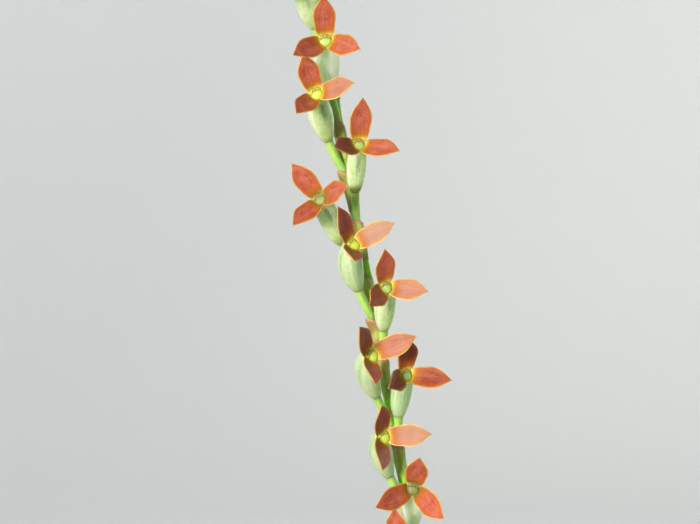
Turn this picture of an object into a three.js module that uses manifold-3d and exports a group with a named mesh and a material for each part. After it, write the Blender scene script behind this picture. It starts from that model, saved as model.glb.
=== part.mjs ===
// Stelis emarginata, a small tufted orchid, in bloom in a plain clay pot.
// Millimetres, +Z up, the origin at the middle of the pot's underside. The flowers face -Y.
//
// The plant: a creeping rhizome with wiry roots on bark, slender stems each clothed in brown
// sheaths and ending in one leathery leaf notched at its tip, and one raceme. Each bloom is a
// pale green tube of three joined sepals, with three free orange lobes round its mouth.

import * as THREE from "three";
import { mergeVertices } from "three/addons/utils/BufferGeometryUtils.js";
import Module from "manifold-3d";

const wasm = await Module();
wasm.setup();

const radians = THREE.MathUtils.degToRad;
const fullTurn = 2 * Math.PI;
const goldenAngle = 137.5; // degrees between one seed and the next on a seed head
const vec = (x, y, z) => new THREE.Vector3(x, y, z);
const up = vec(0, 0, 1);
const clearance = 0.3; // between two pieces that touch on the real plant

// Driving dimensions

const pot = {
  height: 82,
  rimRadius: 45,
  rimHeight: 17,
  rimStep: 2.6,
  footRadius: 31,
  wall: 4.2,
  floor: 6,
  lip: 1.2,
  holes: 4,
  holeRadius: 4,
  holeRing: 17,
  holeSides: 12,
  sides: 36,
};

const mix = {
  top: 72, // height of the surface above the pot's underside
  gap: 0.35, // from the pot's wall and floor
  chips: 36,
  chipSize: [8.4, 6, 3.6],
  smallest: 0.75, // of that size
  sizeRange: 0.6,
  knocked: 0.34, // the furthest that a corner is knocked in, as a share
  tilt: [0.9, 0.7], // the range of a chip's slopes, in radians
  margin: 6.4, // from the pot's wall to the middle of the nearest chip
  seed: 11,
};

const rhizome = { radius: 1.9, waist: 0.1, rise: 1.2, sides: 6, stepsEach: 2 };

const root = {
  radius: 0.85,
  taper: 0.25,
  count: 10,
  reach: 15,
  arch: 3.4,
  depth: 9,
  fan: 2.2, // radians that the roots of one side spread over
  margin: 5, // from the pot's wall
  sides: 5,
  steps: 5,
  seed: 5,
};

const stem = {
  radius: 1.05,
  upright: 0.32, // a stem leans by this share of its leaf's lean
  sheathShare: 0.62, // of the stem's length
  sheathWall: 0.6,
  sheathSides: 7,
};

// Where each stem stands on the bark, the way its leaf leans, and its real lengths.
const stems = [
  { x: 20, y: 3, toward: 35, lean: 17, ramicaul: 46, blade: 66, width: 17 },
  { x: 12, y: -9, toward: -50, lean: 27, ramicaul: 34, blade: 58, width: 15 },
  { x: 10, y: 12, toward: 75, lean: 18, ramicaul: 44, blade: 70, width: 18 },
  { x: 0, y: 3, toward: 140, lean: 9, ramicaul: 42, blade: 68, width: 17 },
  { x: -7, y: -11, toward: -105, lean: 30, ramicaul: 32, blade: 55, width: 15 },
  { x: -9, y: 12, toward: 115, lean: 21, ramicaul: 40, blade: 64, width: 16 },
  { x: -18, y: -2, toward: 195, lean: 20, ramicaul: 38, blade: 62, width: 17 },
  { x: -26, y: 7, toward: 160, lean: 36, ramicaul: 30, blade: 50, width: 14 },
];
const rhizomeRuns = [
  [7, 6, 5, 3, 2, 0],
  [4, 3, 1],
];

// The sheath's outer radius beyond its wall, by share of its length: two sheaths, one
// standing in the flared mouth of the other.
const sheathOutline = [
  [0.3, 0.1],
  [0.36, 0.55],
  [0.37, -0.05],
  [1, 0.3],
];

const leaf = {
  thickness: 1.3,
  notch: 1.5,
  droop: 1.9, // the tip leans this many times as far as the middle
};
// Half width, as a share of the leaf's own, and fold along a blade: a thin folded stalk, a
// broad blade and a blunt tip.
const leafOutline = [
  [0, 0.08, 0.3],
  [0.1, 0.12, 0.9],
  [0.22, 0.46, 0.5],
  [0.4, 0.86, 0.26],
  [0.6, 1, 0.16],
  [0.8, 0.82, 0.14],
  [0.93, 0.5, 0.12],
  [1, 0.24, 0.1],
];

// The raceme. Its flowering stretch is measured from the middle of that stretch, "heart".
const heart = vec(2, 0, 252);
const stalk = {
  footRadius: 0.95,
  tipRadius: 0.42,
  footRise: 3.2, // it starts this far above the foot of the leaf
  footInset: 1.5, // and this far to the inner side of it
  sides: 6,
  steps: 27,
};
// The way of the stalk below and above the heart of the raceme.
const stalkBelow = [vec(12.2, 0.6, -70), vec(6.6, 0, -36.7), vec(3.4, 0, -19.3)];
const stalkAbove = [vec(-2.8, 0, 14.3), vec(-6, 0, 36.7), vec(-10.4, 0, 62), vec(-14.6, -1.6, 80)];

// The sheaths that clasp the bare stalk: heights above its foot, and radius by height.
const claspHeights = [5, 24];
const claspOutline = [
  [0, 0.7],
  [1.2, 1.35],
  [5.2, 1.5],
];
const claspMouth = 4.2;
const claspSides = 6;

// Blooms listed from the top down: the mouth's place beside and above the heart of the
// raceme, how far it faces right and up, and the turn of its upper lobe, in degrees.
// "forward" is given where the mouth stands further out or back than the others.
const facedBlooms = [
  { x: -8.6, z: 38.5, right: -15, rise: 15, roll: -20 },
  { x: -5.3, z: 30.0, right: 0, rise: 5, roll: -5, forward: 8 },
  { x: -6.6, z: 22.9, right: 0, rise: 15, roll: -30 },
  { x: -0.8, z: 16.0, right: 15, rise: 20, roll: 0 },
  { x: -6.1, z: 8.6, right: -20, rise: 10, roll: -35 },
  { x: -1.6, z: 2.4, right: 25, rise: 25, roll: -40 },
  { x: 2.9, z: -3.4, right: 20, rise: 10, roll: -15 },
  { x: 0.9, z: -12.5, right: 30, rise: 10, roll: -50, forward: 9.5 },
  { x: 5.7, z: -15.4, right: 25, rise: 10, roll: -8, forward: 5.2 },
  { x: 2.6, z: -23.7, right: 30, rise: 5, roll: -30 },
  { x: 6.6, z: -30.7, right: -5, rise: -5, roll: 10 },
];

// Above and below those, the blooms alternate and follow the stalk.
const following = {
  above: 4,
  below: 6,
  spacing: 7,
  closer: 0.05, // each gap above is shorter by this share
  smaller: 0.09, // and so is each bloom above
  right: 18,
  rise: 14,
  rolls: [-35, -10], // on the left and on the right
};

const bloom = {
  reach: 11.2, // from the rachis joint up to the mouth
  forward: 7, // the mouth stands this far in front of the rachis
  aside: 2.2, // and this far to its own side
  climb: 4.6, // how far the pedicel follows the rachis
  jut: 2.1,
  drift: 0.45, // share of the mouth's distance to one side that the pedicel takes up
  neck: 3.6, // the straight end behind the mouth
  sag: 1.4,
  tubeFrom: 0.37, // share of the arch that is pedicel
  seam: 0.02, // between the pedicel and the tube
  ridge: 0.06, // the three seams of the tube stand out a little
  sides: 9,
  mouthRadius: 1.2,
  throatRadius: 0.92,
  throatFloor: 0.76,
  throatDepth: 0.6,
  knobRadius: 0.66,
  knobHeight: 0.9,
};
// Radius of the tube from its foot to its mouth.
const tubeOutline = [
  [0, 0.6],
  [0.1, 1.0],
  [0.26, 1.56],
  [0.48, 1.78],
  [0.76, 1.5],
  [1, bloom.mouthRadius],
];

// Radius of the pedicel from the rachis to the tube, its foot in a flared bract.
const pedicelOutline = [
  [0, 0.3],
  [0.34, 0.95],
  [0.38, 0.46],
  [1, 0.56],
];
const pedicelSides = 5;

const lobe = {
  lift: 0.2, // above the tube's mouth
  thickness: 0.6,
  innerRadius: 0.94,
  outerRadius: 1.28,
  halfAngle: 48, // each lobe's foot on the ring, in degrees
  reach: 5.2, // tip from the flower's axis
  rise: 4.0, // tip above the mouth
  bend: [0.5, 0.68], // where the middle line turns, as shares of reach and rise
  hollow: 0.12, // the middle lies lower than the edges
};
// Half width of a lobe along its length, after its foot.
const lobeOutline = [
  [0.24, 1.42],
  [0.5, 1.7],
  [0.78, 1.2],
];

const bud = {
  count: 9,
  first: 4.6, // above the joint of the highest bloom
  spacing: 2.6,
  size: 0.8,
  smaller: 0.055,
  length: 6,
  aside: 0.75,
  out: 0.9,
  spread: 0.55,
  sides: 5,
};
// Radius of a bud along its length.
const budOutline = [
  [0.9, 0.42],
  [2.2, 1.05],
  [3.7, 1.1],
  [5, 0.62],
];

// Small tools

// A seeded draw of numbers from 0 to 1.
function drawer(seed) {
  const wrap = 2 ** 32;
  let state = seed;
  return () => {
    state = (state * 1664525 + 1013904223) % wrap;
    return state / wrap;
  };
}

function volumeOf(points, faces) {
  let six = 0;
  for (let i = 0; i < faces.length; i += 3) {
    const [a, b, c] = [points[faces[i]], points[faces[i + 1]], points[faces[i + 2]]];
    six += a.dot(b.clone().cross(c));
  }
  return six / 6;
}

// A closed geometry from points and triangles, turned so that its faces point out.
function closed(points, faces) {
  if (volumeOf(points, faces) < 0) faces.reverse();
  const geometry = new THREE.BufferGeometry();
  const flat = points.flatMap((p) => [p.x, p.y, p.z]);
  geometry.setAttribute("position", new THREE.Float32BufferAttribute(flat, 3));
  geometry.setIndex(faces);
  return geometry;
}

// A skin over a row of rings with the same number of points, closed by a point at each end.
function skin(rings, first, last) {
  const sides = rings[0].length;
  const points = [first, ...rings.flat(), last];
  const at = (ring, side) => 1 + ring * sides + (side % sides);
  const end = points.length - 1;
  const faces = [];
  for (let side = 0; side < sides; side++) {
    faces.push(0, at(0, side + 1), at(0, side));
    for (let ring = 0; ring < rings.length - 1; ring++) {
      faces.push(at(ring, side), at(ring, side + 1), at(ring + 1, side + 1));
      faces.push(at(ring, side), at(ring + 1, side + 1), at(ring + 1, side));
    }
    faces.push(end, at(rings.length - 1, side), at(rings.length - 1, side + 1));
  }
  return closed(points, faces);
}

// The cross directions of a path at a point: across it towards a guide, and beside that.
function crossFrame(tangent, guide) {
  const across = guide.clone().addScaledVector(tangent, -guide.dot(tangent)).normalize();
  return { across, beside: tangent.clone().cross(across) };
}

function ringAt(point, tangent, guide, radius, sides, turn = 0, ridge = 0) {
  const { across, beside } = crossFrame(tangent, guide);
  return Array.from({ length: sides }, (_, side) => {
    const angle = (fullTurn * side) / sides;
    const r = radius * (1 + ridge * Math.cos(3 * angle));
    return point
      .clone()
      .addScaledVector(across, r * Math.cos(angle + turn))
      .addScaledVector(beside, r * Math.sin(angle + turn));
  });
}

// A round rod along a curve, with a radius for each share of its length.
function rod(curve, { steps, sides, radiusAt, guide }) {
  const rings = [];
  for (let step = 0; step <= steps; step++) {
    const share = step / steps;
    rings.push(ringAt(curve.getPoint(share), curve.getTangent(share), guide, radiusAt(share), sides));
  }
  return skin(rings, curve.getPoint(0), curve.getPoint(1));
}

function solidOf(geometry) {
  const bare = geometry.clone();
  for (const name of ["normal", "uv"]) bare.deleteAttribute(name);
  const merged = mergeVertices(bare, 1e-4);
  return new wasm.Manifold(
    new wasm.Mesh({
      numProp: 3,
      vertProperties: new Float32Array(merged.attributes.position.array),
      triVerts: new Uint32Array(merged.index.array),
    }),
  );
}

const joined = (geometries) => geometries.map(solidOf).reduce((whole, piece) => whole.add(piece));

// The largest body of a solid: a loose scrap left by a cut is dropped.
function largest(solid) {
  return solid.decompose().reduce((a, b) => (b.volume() > a.volume() ? b : a));
}

function geometryOf(solid) {
  const mesh = solid.getMesh();
  const geometry = new THREE.BufferGeometry();
  geometry.setAttribute("position", new THREE.BufferAttribute(mesh.vertProperties, 3));
  geometry.setIndex(new THREE.BufferAttribute(mesh.triVerts, 1));
  return geometry;
}

function lathe(outline) {
  const profile = outline.map(([r, z]) => new THREE.Vector2(r, z));
  return new THREE.LatheGeometry(profile, pot.sides).rotateX(Math.PI / 2);
}

const plant = new THREE.Group();

function addPiece(name, geometry, finish) {
  const piece = new THREE.Mesh(geometry, finish);
  geometry.computeVertexNormals();
  piece.name = name;
  plant.add(piece);
}

const finish = (color, roughness) =>
  new THREE.MeshStandardMaterial({ color, roughness, metalness: 0 });
const clay = finish(0xb5683f, 0.85);
const bark = finish(0x5a3a25, 0.95);
const papery = finish(0x9c8058, 0.8);
const leafGreen = finish(0x3f7a2c, 0.45);
const stalkGreen = finish(0xa4cf4a, 0.5);
const tubeGreen = finish(0xcfe6b4, 0.5);
const lobeOrange = finish(0xd9714e, 0.5);

// The pot and what fills it

const innerRadiusAt = (z) => {
  const share = z / pot.height;
  return pot.footRadius + (pot.rimRadius - pot.rimStep - pot.footRadius) * share - pot.wall;
};

function makePot() {
  const bodyTop = pot.height - pot.rimHeight;
  const bodyRadius = innerRadiusAt(bodyTop) + pot.wall;
  const innerTop = innerRadiusAt(pot.height);
  let solid = solidOf(
    lathe([
      [0, 0],
      [pot.footRadius - pot.lip, 0],
      [pot.footRadius, pot.lip],
      [bodyRadius, bodyTop],
      [bodyRadius + pot.rimStep, bodyTop + pot.lip],
      [pot.rimRadius, pot.height - pot.lip],
      [pot.rimRadius - pot.lip, pot.height],
      [innerTop + pot.lip, pot.height],
      [innerTop, pot.height - pot.lip],
      [innerRadiusAt(pot.floor), pot.floor],
      [0, pot.floor],
    ]),
  );
  for (let i = 0; i < pot.holes; i++) {
    const angle = (fullTurn * (i + 0.5)) / pot.holes;
    const drill = new THREE.CylinderGeometry(pot.holeRadius, pot.holeRadius, 3 * pot.floor, pot.holeSides)
      .rotateX(Math.PI / 2)
      .translate(pot.holeRing * Math.cos(angle), pot.holeRing * Math.sin(angle), 0);
    solid = solid.subtract(solidOf(drill));
  }
  return geometryOf(solid);
}

// One piece of bark: a block with its corners knocked in.
function barkChip(draw) {
  const block = new THREE.BoxGeometry(1, 1, 1);
  for (const name of ["normal", "uv"]) block.deleteAttribute(name);
  const chip = mergeVertices(block);
  const corners = chip.attributes.position;
  for (let i = 0; i < corners.count; i++) {
    corners.setXYZ(
      i,
      corners.getX(i) * (1 - mix.knocked * draw()),
      corners.getY(i) * (1 - mix.knocked * draw()),
      corners.getZ(i) * (1 - mix.knocked * draw()),
    );
  }
  const size = mix.smallest + mix.sizeRange * draw();
  const [length, width, height] = mix.chipSize;
  chip.scale(length * size, width * size, height * size);
  chip.rotateX((draw() - 0.5) * mix.tilt[0]);
  chip.rotateY((draw() - 0.5) * mix.tilt[1]);
  chip.rotateZ(fullTurn * draw());
  return chip;
}

function makeMix(hollows) {
  const draw = drawer(mix.seed);
  const low = pot.floor + mix.gap;
  const bed = lathe([
    [0, low],
    [innerRadiusAt(low) - mix.gap, low],
    [innerRadiusAt(mix.top) - mix.gap, mix.top],
    [0, mix.top],
  ]);
  const chips = [];
  const spread = innerRadiusAt(mix.top) - mix.margin;
  for (let i = 0; i < mix.chips; i++) {
    // The chips spiral out evenly over the round bed, as seeds do on a seed head.
    const radius = spread * Math.sqrt((i + 0.5) / mix.chips);
    const angle = i * radians(goldenAngle) + 0.4 * draw();
    const chip = barkChip(draw);
    const height = mix.top + draw() - 0.4;
    chips.push(chip.translate(radius * Math.cos(angle), radius * Math.sin(angle), height));
  }
  const filled = joined([bed, ...chips]);
  return geometryOf(largest(hollows.reduce((rest, hollow) => rest.subtract(hollow), filled)));
}

// Rhizome, roots and sheaths

const lineLevel = mix.top + rhizome.rise;
const footLevel = lineLevel + rhizome.radius + clearance;

const outwardOf = ({ toward }) => vec(Math.cos(radians(toward)), Math.sin(radians(toward)), 0);

// The way in between straight up and outward, at an angle from the vertical.
const tilted = (outward, angle) =>
  outward.clone().multiplyScalar(Math.sin(angle)).addScaledVector(up, Math.cos(angle));

const stemDirection = (item) => tilted(outwardOf(item), radians(stem.upright * item.lean));

function rhizomeRods(extra) {
  return rhizomeRuns.map((run) => {
    const line = new THREE.CatmullRomCurve3(run.map((i) => vec(stems[i].x, stems[i].y, lineLevel)));
    const swelling = (share) => 1 - rhizome.waist * (1 - Math.cos(fullTurn * share * (run.length - 1)));
    return rod(line, {
      steps: rhizome.stepsEach * (run.length - 1),
      sides: rhizome.sides,
      radiusAt: (share) => rhizome.radius * swelling(share) + extra,
      guide: up,
    });
  });
}

// Roots leave the rhizome all round, arch over the bark and go down into it.
function rootRods(extra) {
  const draw = drawer(root.seed);
  const rods = [];
  for (let i = 0; i < root.count; i++) {
    const from = stems[i % stems.length];
    const outward = Math.atan2(from.y, from.x) + (draw() - 0.5) * root.fan;
    const reach = root.reach * (0.55 + 0.5 * draw());
    const way = vec(Math.cos(outward), Math.sin(outward), 0);
    const start = vec(from.x, from.y, lineLevel);
    const end = start.clone().addScaledVector(way, reach);
    const limit = innerRadiusAt(mix.top) - root.margin;
    const over = Math.max(1, Math.hypot(end.x, end.y) / limit);
    end.x /= over;
    end.y /= over;
    const middle = start.clone().lerp(end, 0.5);
    middle.z += root.arch * (0.6 + 0.6 * draw());
    end.z = mix.top - root.depth;
    const line = new THREE.QuadraticBezierCurve3(start, middle, end);
    rods.push(
      rod(line, {
        steps: root.steps,
        sides: root.sides,
        radiusAt: (share) => root.radius * (1 - root.taper * share) + extra,
        guide: way.clone().cross(up),
      }),
    );
  }
  return rods;
}

// Brown sheaths round a stem, one inside the next, standing on the rhizome.
function sheath(item) {
  const direction = stemDirection(item);
  const foot = vec(item.x, item.y, footLevel);
  const inner = stem.radius + clearance;
  const length = item.ramicaul * stem.sheathShare;
  const outside = sheathOutline.map(([share, extra]) => [share * length, inner + stem.sheathWall + extra]);
  const sunk = -clearance - 1;
  const profile = [
    [sunk, outside[0][1] + 0.15],
    ...outside,
    [length, inner + 0.2],
    [-clearance, inner],
  ];
  const at = (along) => foot.clone().addScaledVector(direction, along);
  const rings = profile.map(([along, radius]) =>
    ringAt(at(along), direction, vec(1, 0, 0), radius, stem.sheathSides),
  );
  return skin(rings, at(sunk), at(-clearance));
}

// The plain round hole that a sheath stands in, where the bark is heaped round it.
function sheathHollow(item) {
  const direction = stemDirection(item);
  const foot = vec(item.x, item.y, footLevel);
  const radius = stem.radius + 2 * clearance + stem.sheathWall + 0.45;
  const ends = [-1.5, 5].map((along) => foot.clone().addScaledVector(direction, along));
  const rings = ends.map((end) => ringAt(end, direction, vec(1, 0, 0), radius, stem.sheathSides));
  return skin(rings, ends[0], ends[1]);
}

// Stems with their leaves

function leafMidline(item) {
  const outward = outwardOf(item);
  const direction = stemDirection(item);
  const foot = vec(item.x, item.y, footLevel);
  const top = foot.clone().addScaledVector(direction, item.ramicaul);
  const tilt = radians(item.lean);
  const middle = top.clone().addScaledVector(tilted(outward, tilt), item.blade / 2);
  const end = middle.clone().addScaledVector(tilted(outward, leaf.droop * tilt), item.blade / 2);
  return { foot, top, direction, outward, arch: new THREE.QuadraticBezierCurve3(top, middle, end) };
}

// An eight-sided section that can be round, or a flat lens with raised edges.
function leafRing(centre, tangent, inward, halfWidth, halfThickness, fold) {
  const { across: face, beside } = crossFrame(tangent, inward);
  const corners = [
    [1, 0],
    [0.6, 0.8],
    [0, 1],
    [-0.6, 0.8],
    [-1, 0],
    [-0.6, -0.8],
    [0, -1],
    [0.6, -0.8],
  ];
  return corners.map(([wide, thick]) =>
    centre
      .clone()
      .addScaledVector(beside, wide * halfWidth)
      .addScaledVector(face, thick * halfThickness + fold * Math.abs(wide) * halfWidth),
  );
}

function makeLeafyStem(item) {
  const { foot, top, direction, outward, arch } = leafMidline(item);
  const inward = outward.clone().negate();
  const rings = [0, 0.5, 0.96].map((share) =>
    leafRing(foot.clone().lerp(top, share), direction, inward, stem.radius, stem.radius, 0),
  );
  for (const [share, wide, fold] of leafOutline) {
    const halfWidth = (wide * item.width) / 2;
    const thicker = 0.4 * (1 - Math.min(1, 3 * share)); // towards the stem
    const halfThickness = Math.min(stem.radius, leaf.thickness / 2 + thicker);
    const [centre, way] = [arch.getPoint(share), arch.getTangent(share)];
    rings.push(leafRing(centre, way, inward, halfWidth, halfThickness, fold));
  }
  const notch = arch.getPoint(1).addScaledVector(arch.getTangent(1), -leaf.notch);
  return skin(rings, foot, notch);
}

// The raceme

// The flower stalk, from the foot of the first stem's leaf to its tip.
const flowering = leafMidline(stems[0]);
const stalkFoot = flowering.top
  .clone()
  .addScaledVector(up, stalk.footRise)
  .addScaledVector(flowering.outward, -stalk.footInset);
const stalkLine = new THREE.CatmullRomCurve3([
  stalkFoot,
  stalkFoot.clone().add(vec(-0.6, -0.5, 14)),
  ...stalkBelow.map((bend) => bend.add(heart)),
  heart,
  ...stalkAbove.map((bend) => bend.add(heart)),
]);

// The point of the stalk at a given height, and its direction there.
function stalkAt(z) {
  let [low, high] = [0, 1];
  for (let halving = 0; halving < 24; halving++) {
    const middle = (low + high) / 2;
    if (stalkLine.getPoint(middle).z < z) low = middle;
    else high = middle;
  }
  return { point: stalkLine.getPoint(low), way: stalkLine.getTangent(low) };
}

// A bloom that follows the stalk: on its right or left in turn.
function followingBloom(z, index, size) {
  const right = index % 2;
  const side = right ? 1 : -1;
  const { point, way } = stalkAt(z);
  const mouth = point
    .clone()
    .addScaledVector(way, bloom.reach * size)
    .add(vec(side * bloom.aside, -bloom.forward, 0).multiplyScalar(size));
  return { mouth, size, right: following.right * side, rise: following.rise, roll: following.rolls[right] };
}

// Every bloom from the top down: its mouth, the way it faces and its size.
function arrangeBlooms() {
  const list = facedBlooms.map((item) => ({
    ...item,
    mouth: vec(heart.x + item.x, heart.y - (item.forward ?? bloom.forward), heart.z + item.z),
    size: 1,
  }));
  const [highest, lowest] = [list[0], list[list.length - 1]].map(({ mouth }) => mouth.z - bloom.reach);
  for (let i = 1; i <= following.below; i++) {
    list.push(followingBloom(lowest - i * following.spacing, i - 1, 1));
  }
  for (let i = 1; i <= following.above; i++) {
    const rise = i * following.spacing * (1 - following.closer * i);
    list.unshift(followingBloom(highest + rise, i, 1 - following.smaller * i));
  }
  return list;
}

const facing = ({ right, rise }) => {
  const [yaw, pitch] = [radians(right), radians(rise)];
  const forward = vec(Math.sin(yaw), -Math.cos(yaw), 0);
  return {
    normal: tilted(forward, Math.PI / 2 - pitch),
    aside: vec(Math.cos(yaw), Math.sin(yaw), 0),
    above: tilted(forward, -pitch),
  };
};

// The arch that a bloom follows from its joint on the rachis to its mouth.
function bloomArch(item) {
  const { normal } = facing(item);
  const joint = stalkAt(item.mouth.z - bloom.reach * item.size);
  const first = joint.point.clone().addScaledVector(joint.way, bloom.climb * item.size);
  first.x += bloom.drift * (item.mouth.x - joint.point.x);
  first.y -= bloom.jut * item.size;
  const second = item.mouth.clone().addScaledVector(normal, -bloom.neck * item.size);
  second.z -= bloom.sag * item.size;
  return new THREE.CubicBezierCurve3(joint.point, first, second, item.mouth);
}

const blooms = arrangeBlooms();

function makeTube(item) {
  const arch = bloomArch(item);
  const { normal, above } = facing(item);
  const guide = above.clone().sub(normal);
  const turn = -radians(item.roll);
  const from = bloom.tubeFrom + bloom.seam;
  const rings = tubeOutline.map(([along, radius]) => {
    const share = from + (1 - from) * along;
    return ringAt(
      arch.getPoint(share),
      along < 1 ? arch.getTangent(share) : normal,
      guide,
      radius * item.size,
      bloom.sides,
      turn,
      bloom.ridge * Math.sin(Math.PI * along),
    );
  });
  const throat = [
    [0, bloom.throatRadius],
    [-bloom.throatDepth, bloom.throatFloor],
    [0.35 * bloom.knobHeight, bloom.knobRadius],
  ];
  for (const [height, radius] of throat) {
    const centre = item.mouth.clone().addScaledVector(normal, height * item.size);
    rings.push(ringAt(centre, normal, above, radius * item.size, bloom.sides, turn));
  }
  const knob = item.mouth.clone().addScaledVector(normal, bloom.knobHeight * item.size);
  return skin(rings, arch.getPoint(from), knob);
}

// One layer of the three lobes: the points round its inner edge, and rows of three points
// across each lobe, from the ring outwards.
function lobeLayer(place, roll, line, height) {
  const inner = [];
  const rows = [0, 1, 2].map((k) => {
    const middle = radians(roll + 120 * k);
    const turns = [-1, 0, 1].map((side) => middle + side * radians(lobe.halfAngle));
    inner.push(...turns.map((turn) => place(turn, lobe.innerRadius, height)));
    const foot = turns.map((turn) => place(turn, lobe.outerRadius, height));
    const stations = lobeOutline.map(([share, half]) => {
      const at = line.getPoint(share);
      return [-1, 0, 1].map((edge) =>
        place(middle, at.x, at.y + height - (edge ? 0 : lobe.hollow), edge * half),
      );
    });
    return [foot, ...stations];
  });
  return { inner, rows };
}

// Three free lobes on one ring, as an upper and an under layer of the same triangles.
function makeLobes(item) {
  const { normal, aside, above } = facing(item);
  const { size, mouth, roll } = item;
  const place = (angle, radius, height, sideways = 0) => {
    const [sine, cosine] = [Math.sin(angle), Math.cos(angle)];
    return mouth
      .clone()
      .addScaledVector(aside, (radius * sine + sideways * cosine) * size)
      .addScaledVector(above, (radius * cosine - sideways * sine) * size)
      .addScaledVector(normal, height * size);
  };
  // A lobe's middle line: steep out of the mouth, then spreading.
  const line = new THREE.QuadraticBezierCurve(
    new THREE.Vector2(lobe.outerRadius, 0),
    new THREE.Vector2(lobe.bend[0] * lobe.reach, lobe.bend[1] * lobe.rise),
    new THREE.Vector2(lobe.reach, lobe.rise),
  );
  const points = [];
  const keep = (point) => points.push(point) - 1;
  const numbered = ({ inner, rows }) => ({
    inner: inner.map(keep),
    rows: rows.map((row) => row.map((station) => station.map(keep))),
  });
  const low = numbered(lobeLayer(place, roll, line, lobe.lift));
  const high = numbered(lobeLayer(place, roll, line, lobe.lift + lobe.thickness));
  const tipHeight = lobe.rise + lobe.lift + lobe.thickness / 2;
  const tips = [0, 1, 2].map((k) => keep(place(radians(roll + 120 * k), lobe.reach, tipHeight)));
  const faces = [];
  const both = (pick) => {
    const [a, b, c, d] = pick(high);
    faces.push(a, b, c, a, c, d);
    const [e, f, g, h] = pick(low);
    faces.push(e, g, f, e, h, g);
  };
  const wall = (pick) => {
    const [a, b] = pick(high);
    const [c, d] = pick(low);
    faces.push(a, b, d, a, d, c);
  };
  const last = lobeOutline.length;
  for (let k = 0; k < 3; k++) {
    const next = (k + 1) % 3;
    for (let m = 0; m < 2; m++) {
      const j = 3 * k + m;
      both(({ inner, rows }) => [inner[j], rows[k][0][m], rows[k][0][m + 1], inner[j + 1]]);
      wall(({ inner }) => [inner[j], inner[j + 1]]);
      for (let i = 0; i < last; i++) {
        both(({ rows }) => [rows[k][i][m], rows[k][i + 1][m], rows[k][i + 1][m + 1], rows[k][i][m + 1]]);
      }
      faces.push(high.rows[k][last][m], tips[k], high.rows[k][last][m + 1]);
      faces.push(low.rows[k][last][m + 1], tips[k], low.rows[k][last][m]);
    }
    const side = 3 * k + 2;
    both(({ inner, rows }) => [inner[side], rows[k][0][2], rows[next][0][0], inner[3 * next]]);
    wall(({ inner }) => [inner[side], inner[3 * next]]);
    wall(({ rows }) => [rows[next][0][0], rows[k][0][2]]);
    for (let i = 0; i < last; i++) {
      wall(({ rows }) => [rows[k][i + 1][0], rows[k][i][0]]);
      wall(({ rows }) => [rows[k][i][2], rows[k][i + 1][2]]);
    }
    faces.push(tips[k], high.rows[k][last][0], low.rows[k][last][0]);
    faces.push(high.rows[k][last][2], tips[k], low.rows[k][last][2]);
  }
  return closed(points, faces);
}

// A pedicel from the rachis to the foot of its tube.
function makePedicel(item) {
  const arch = bloomArch(item);
  const guide = facing(item).normal;
  const rings = pedicelOutline.map(([along, radius]) => {
    const share = along * bloom.tubeFrom;
    return ringAt(arch.getPoint(share), arch.getTangent(share), guide, radius * item.size, pedicelSides);
  });
  return skin(rings, arch.getPoint(0), arch.getPoint(bloom.tubeFrom));
}

// A short sheath clasping the bare part of the stalk.
function makeClasp(height) {
  const { point, way } = stalkAt(stalkFoot.z + height);
  const at = (along) => point.clone().addScaledVector(way, along);
  const rings = claspOutline.map(([along, radius]) =>
    ringAt(at(along), way, vec(1, 0, 0), radius, claspSides),
  );
  return skin(rings, at(0), at(claspMouth));
}

// A closed bud near the raceme's tip.
function makeBud(index) {
  const size = bud.size - bud.smaller * index;
  const z = blooms[0].mouth.z - bloom.reach * blooms[0].size + bud.first + bud.spacing * index;
  const { point, way } = stalkAt(z);
  const side = index % 2 ? 1 : -1;
  const outward = vec(bud.aside * side, -bud.out, 0).normalize();
  const axis = way.clone().addScaledVector(outward, bud.spread).normalize();
  const at = (along) => point.clone().addScaledVector(axis, along * size);
  const rings = budOutline.map(([along, radius]) =>
    ringAt(at(along), axis, outward, radius * size, bud.sides),
  );
  return skin(rings, point, at(bud.length));
}

function makeStalk() {
  const pieces = [
    rod(stalkLine, {
      steps: stalk.steps,
      sides: stalk.sides,
      radiusAt: (share) => stalk.footRadius + (stalk.tipRadius - stalk.footRadius) * share,
      guide: vec(1, 0, 0),
    }),
  ];
  pieces.push(...blooms.map(makePedicel), ...claspHeights.map(makeClasp));
  for (let i = 0; i < bud.count; i++) pieces.push(makeBud(i));
  return geometryOf(joined(pieces));
}

// The whole plant

const hollows = [
  ...rhizomeRods(clearance),
  ...rootRods(clearance),
  ...stems.map(sheathHollow),
].map(solidOf);

addPiece("pot", makePot(), clay);
addPiece("bark_mix", makeMix(hollows), bark);
const tuft = joined([...rhizomeRods(0), ...rootRods(0), ...stems.map(sheath)]);
addPiece("rhizome_with_sheaths", geometryOf(tuft), papery);
stems.forEach((item, i) => addPiece(`leafy_stem_${i + 1}`, makeLeafyStem(item), leafGreen));
addPiece("raceme_stalk", makeStalk(), stalkGreen);
blooms.forEach((item, i) => {
  const name = `bloom_${String(i + 1).padStart(2, "0")}`;
  addPiece(`${name}_tube`, makeTube(item), tubeGreen);
  addPiece(`${name}_lobes`, makeLobes(item), lobeOrange);
});

export default plant;
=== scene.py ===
import math
import bmesh
import bpy
import numpy as np
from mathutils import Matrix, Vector, noise


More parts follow.
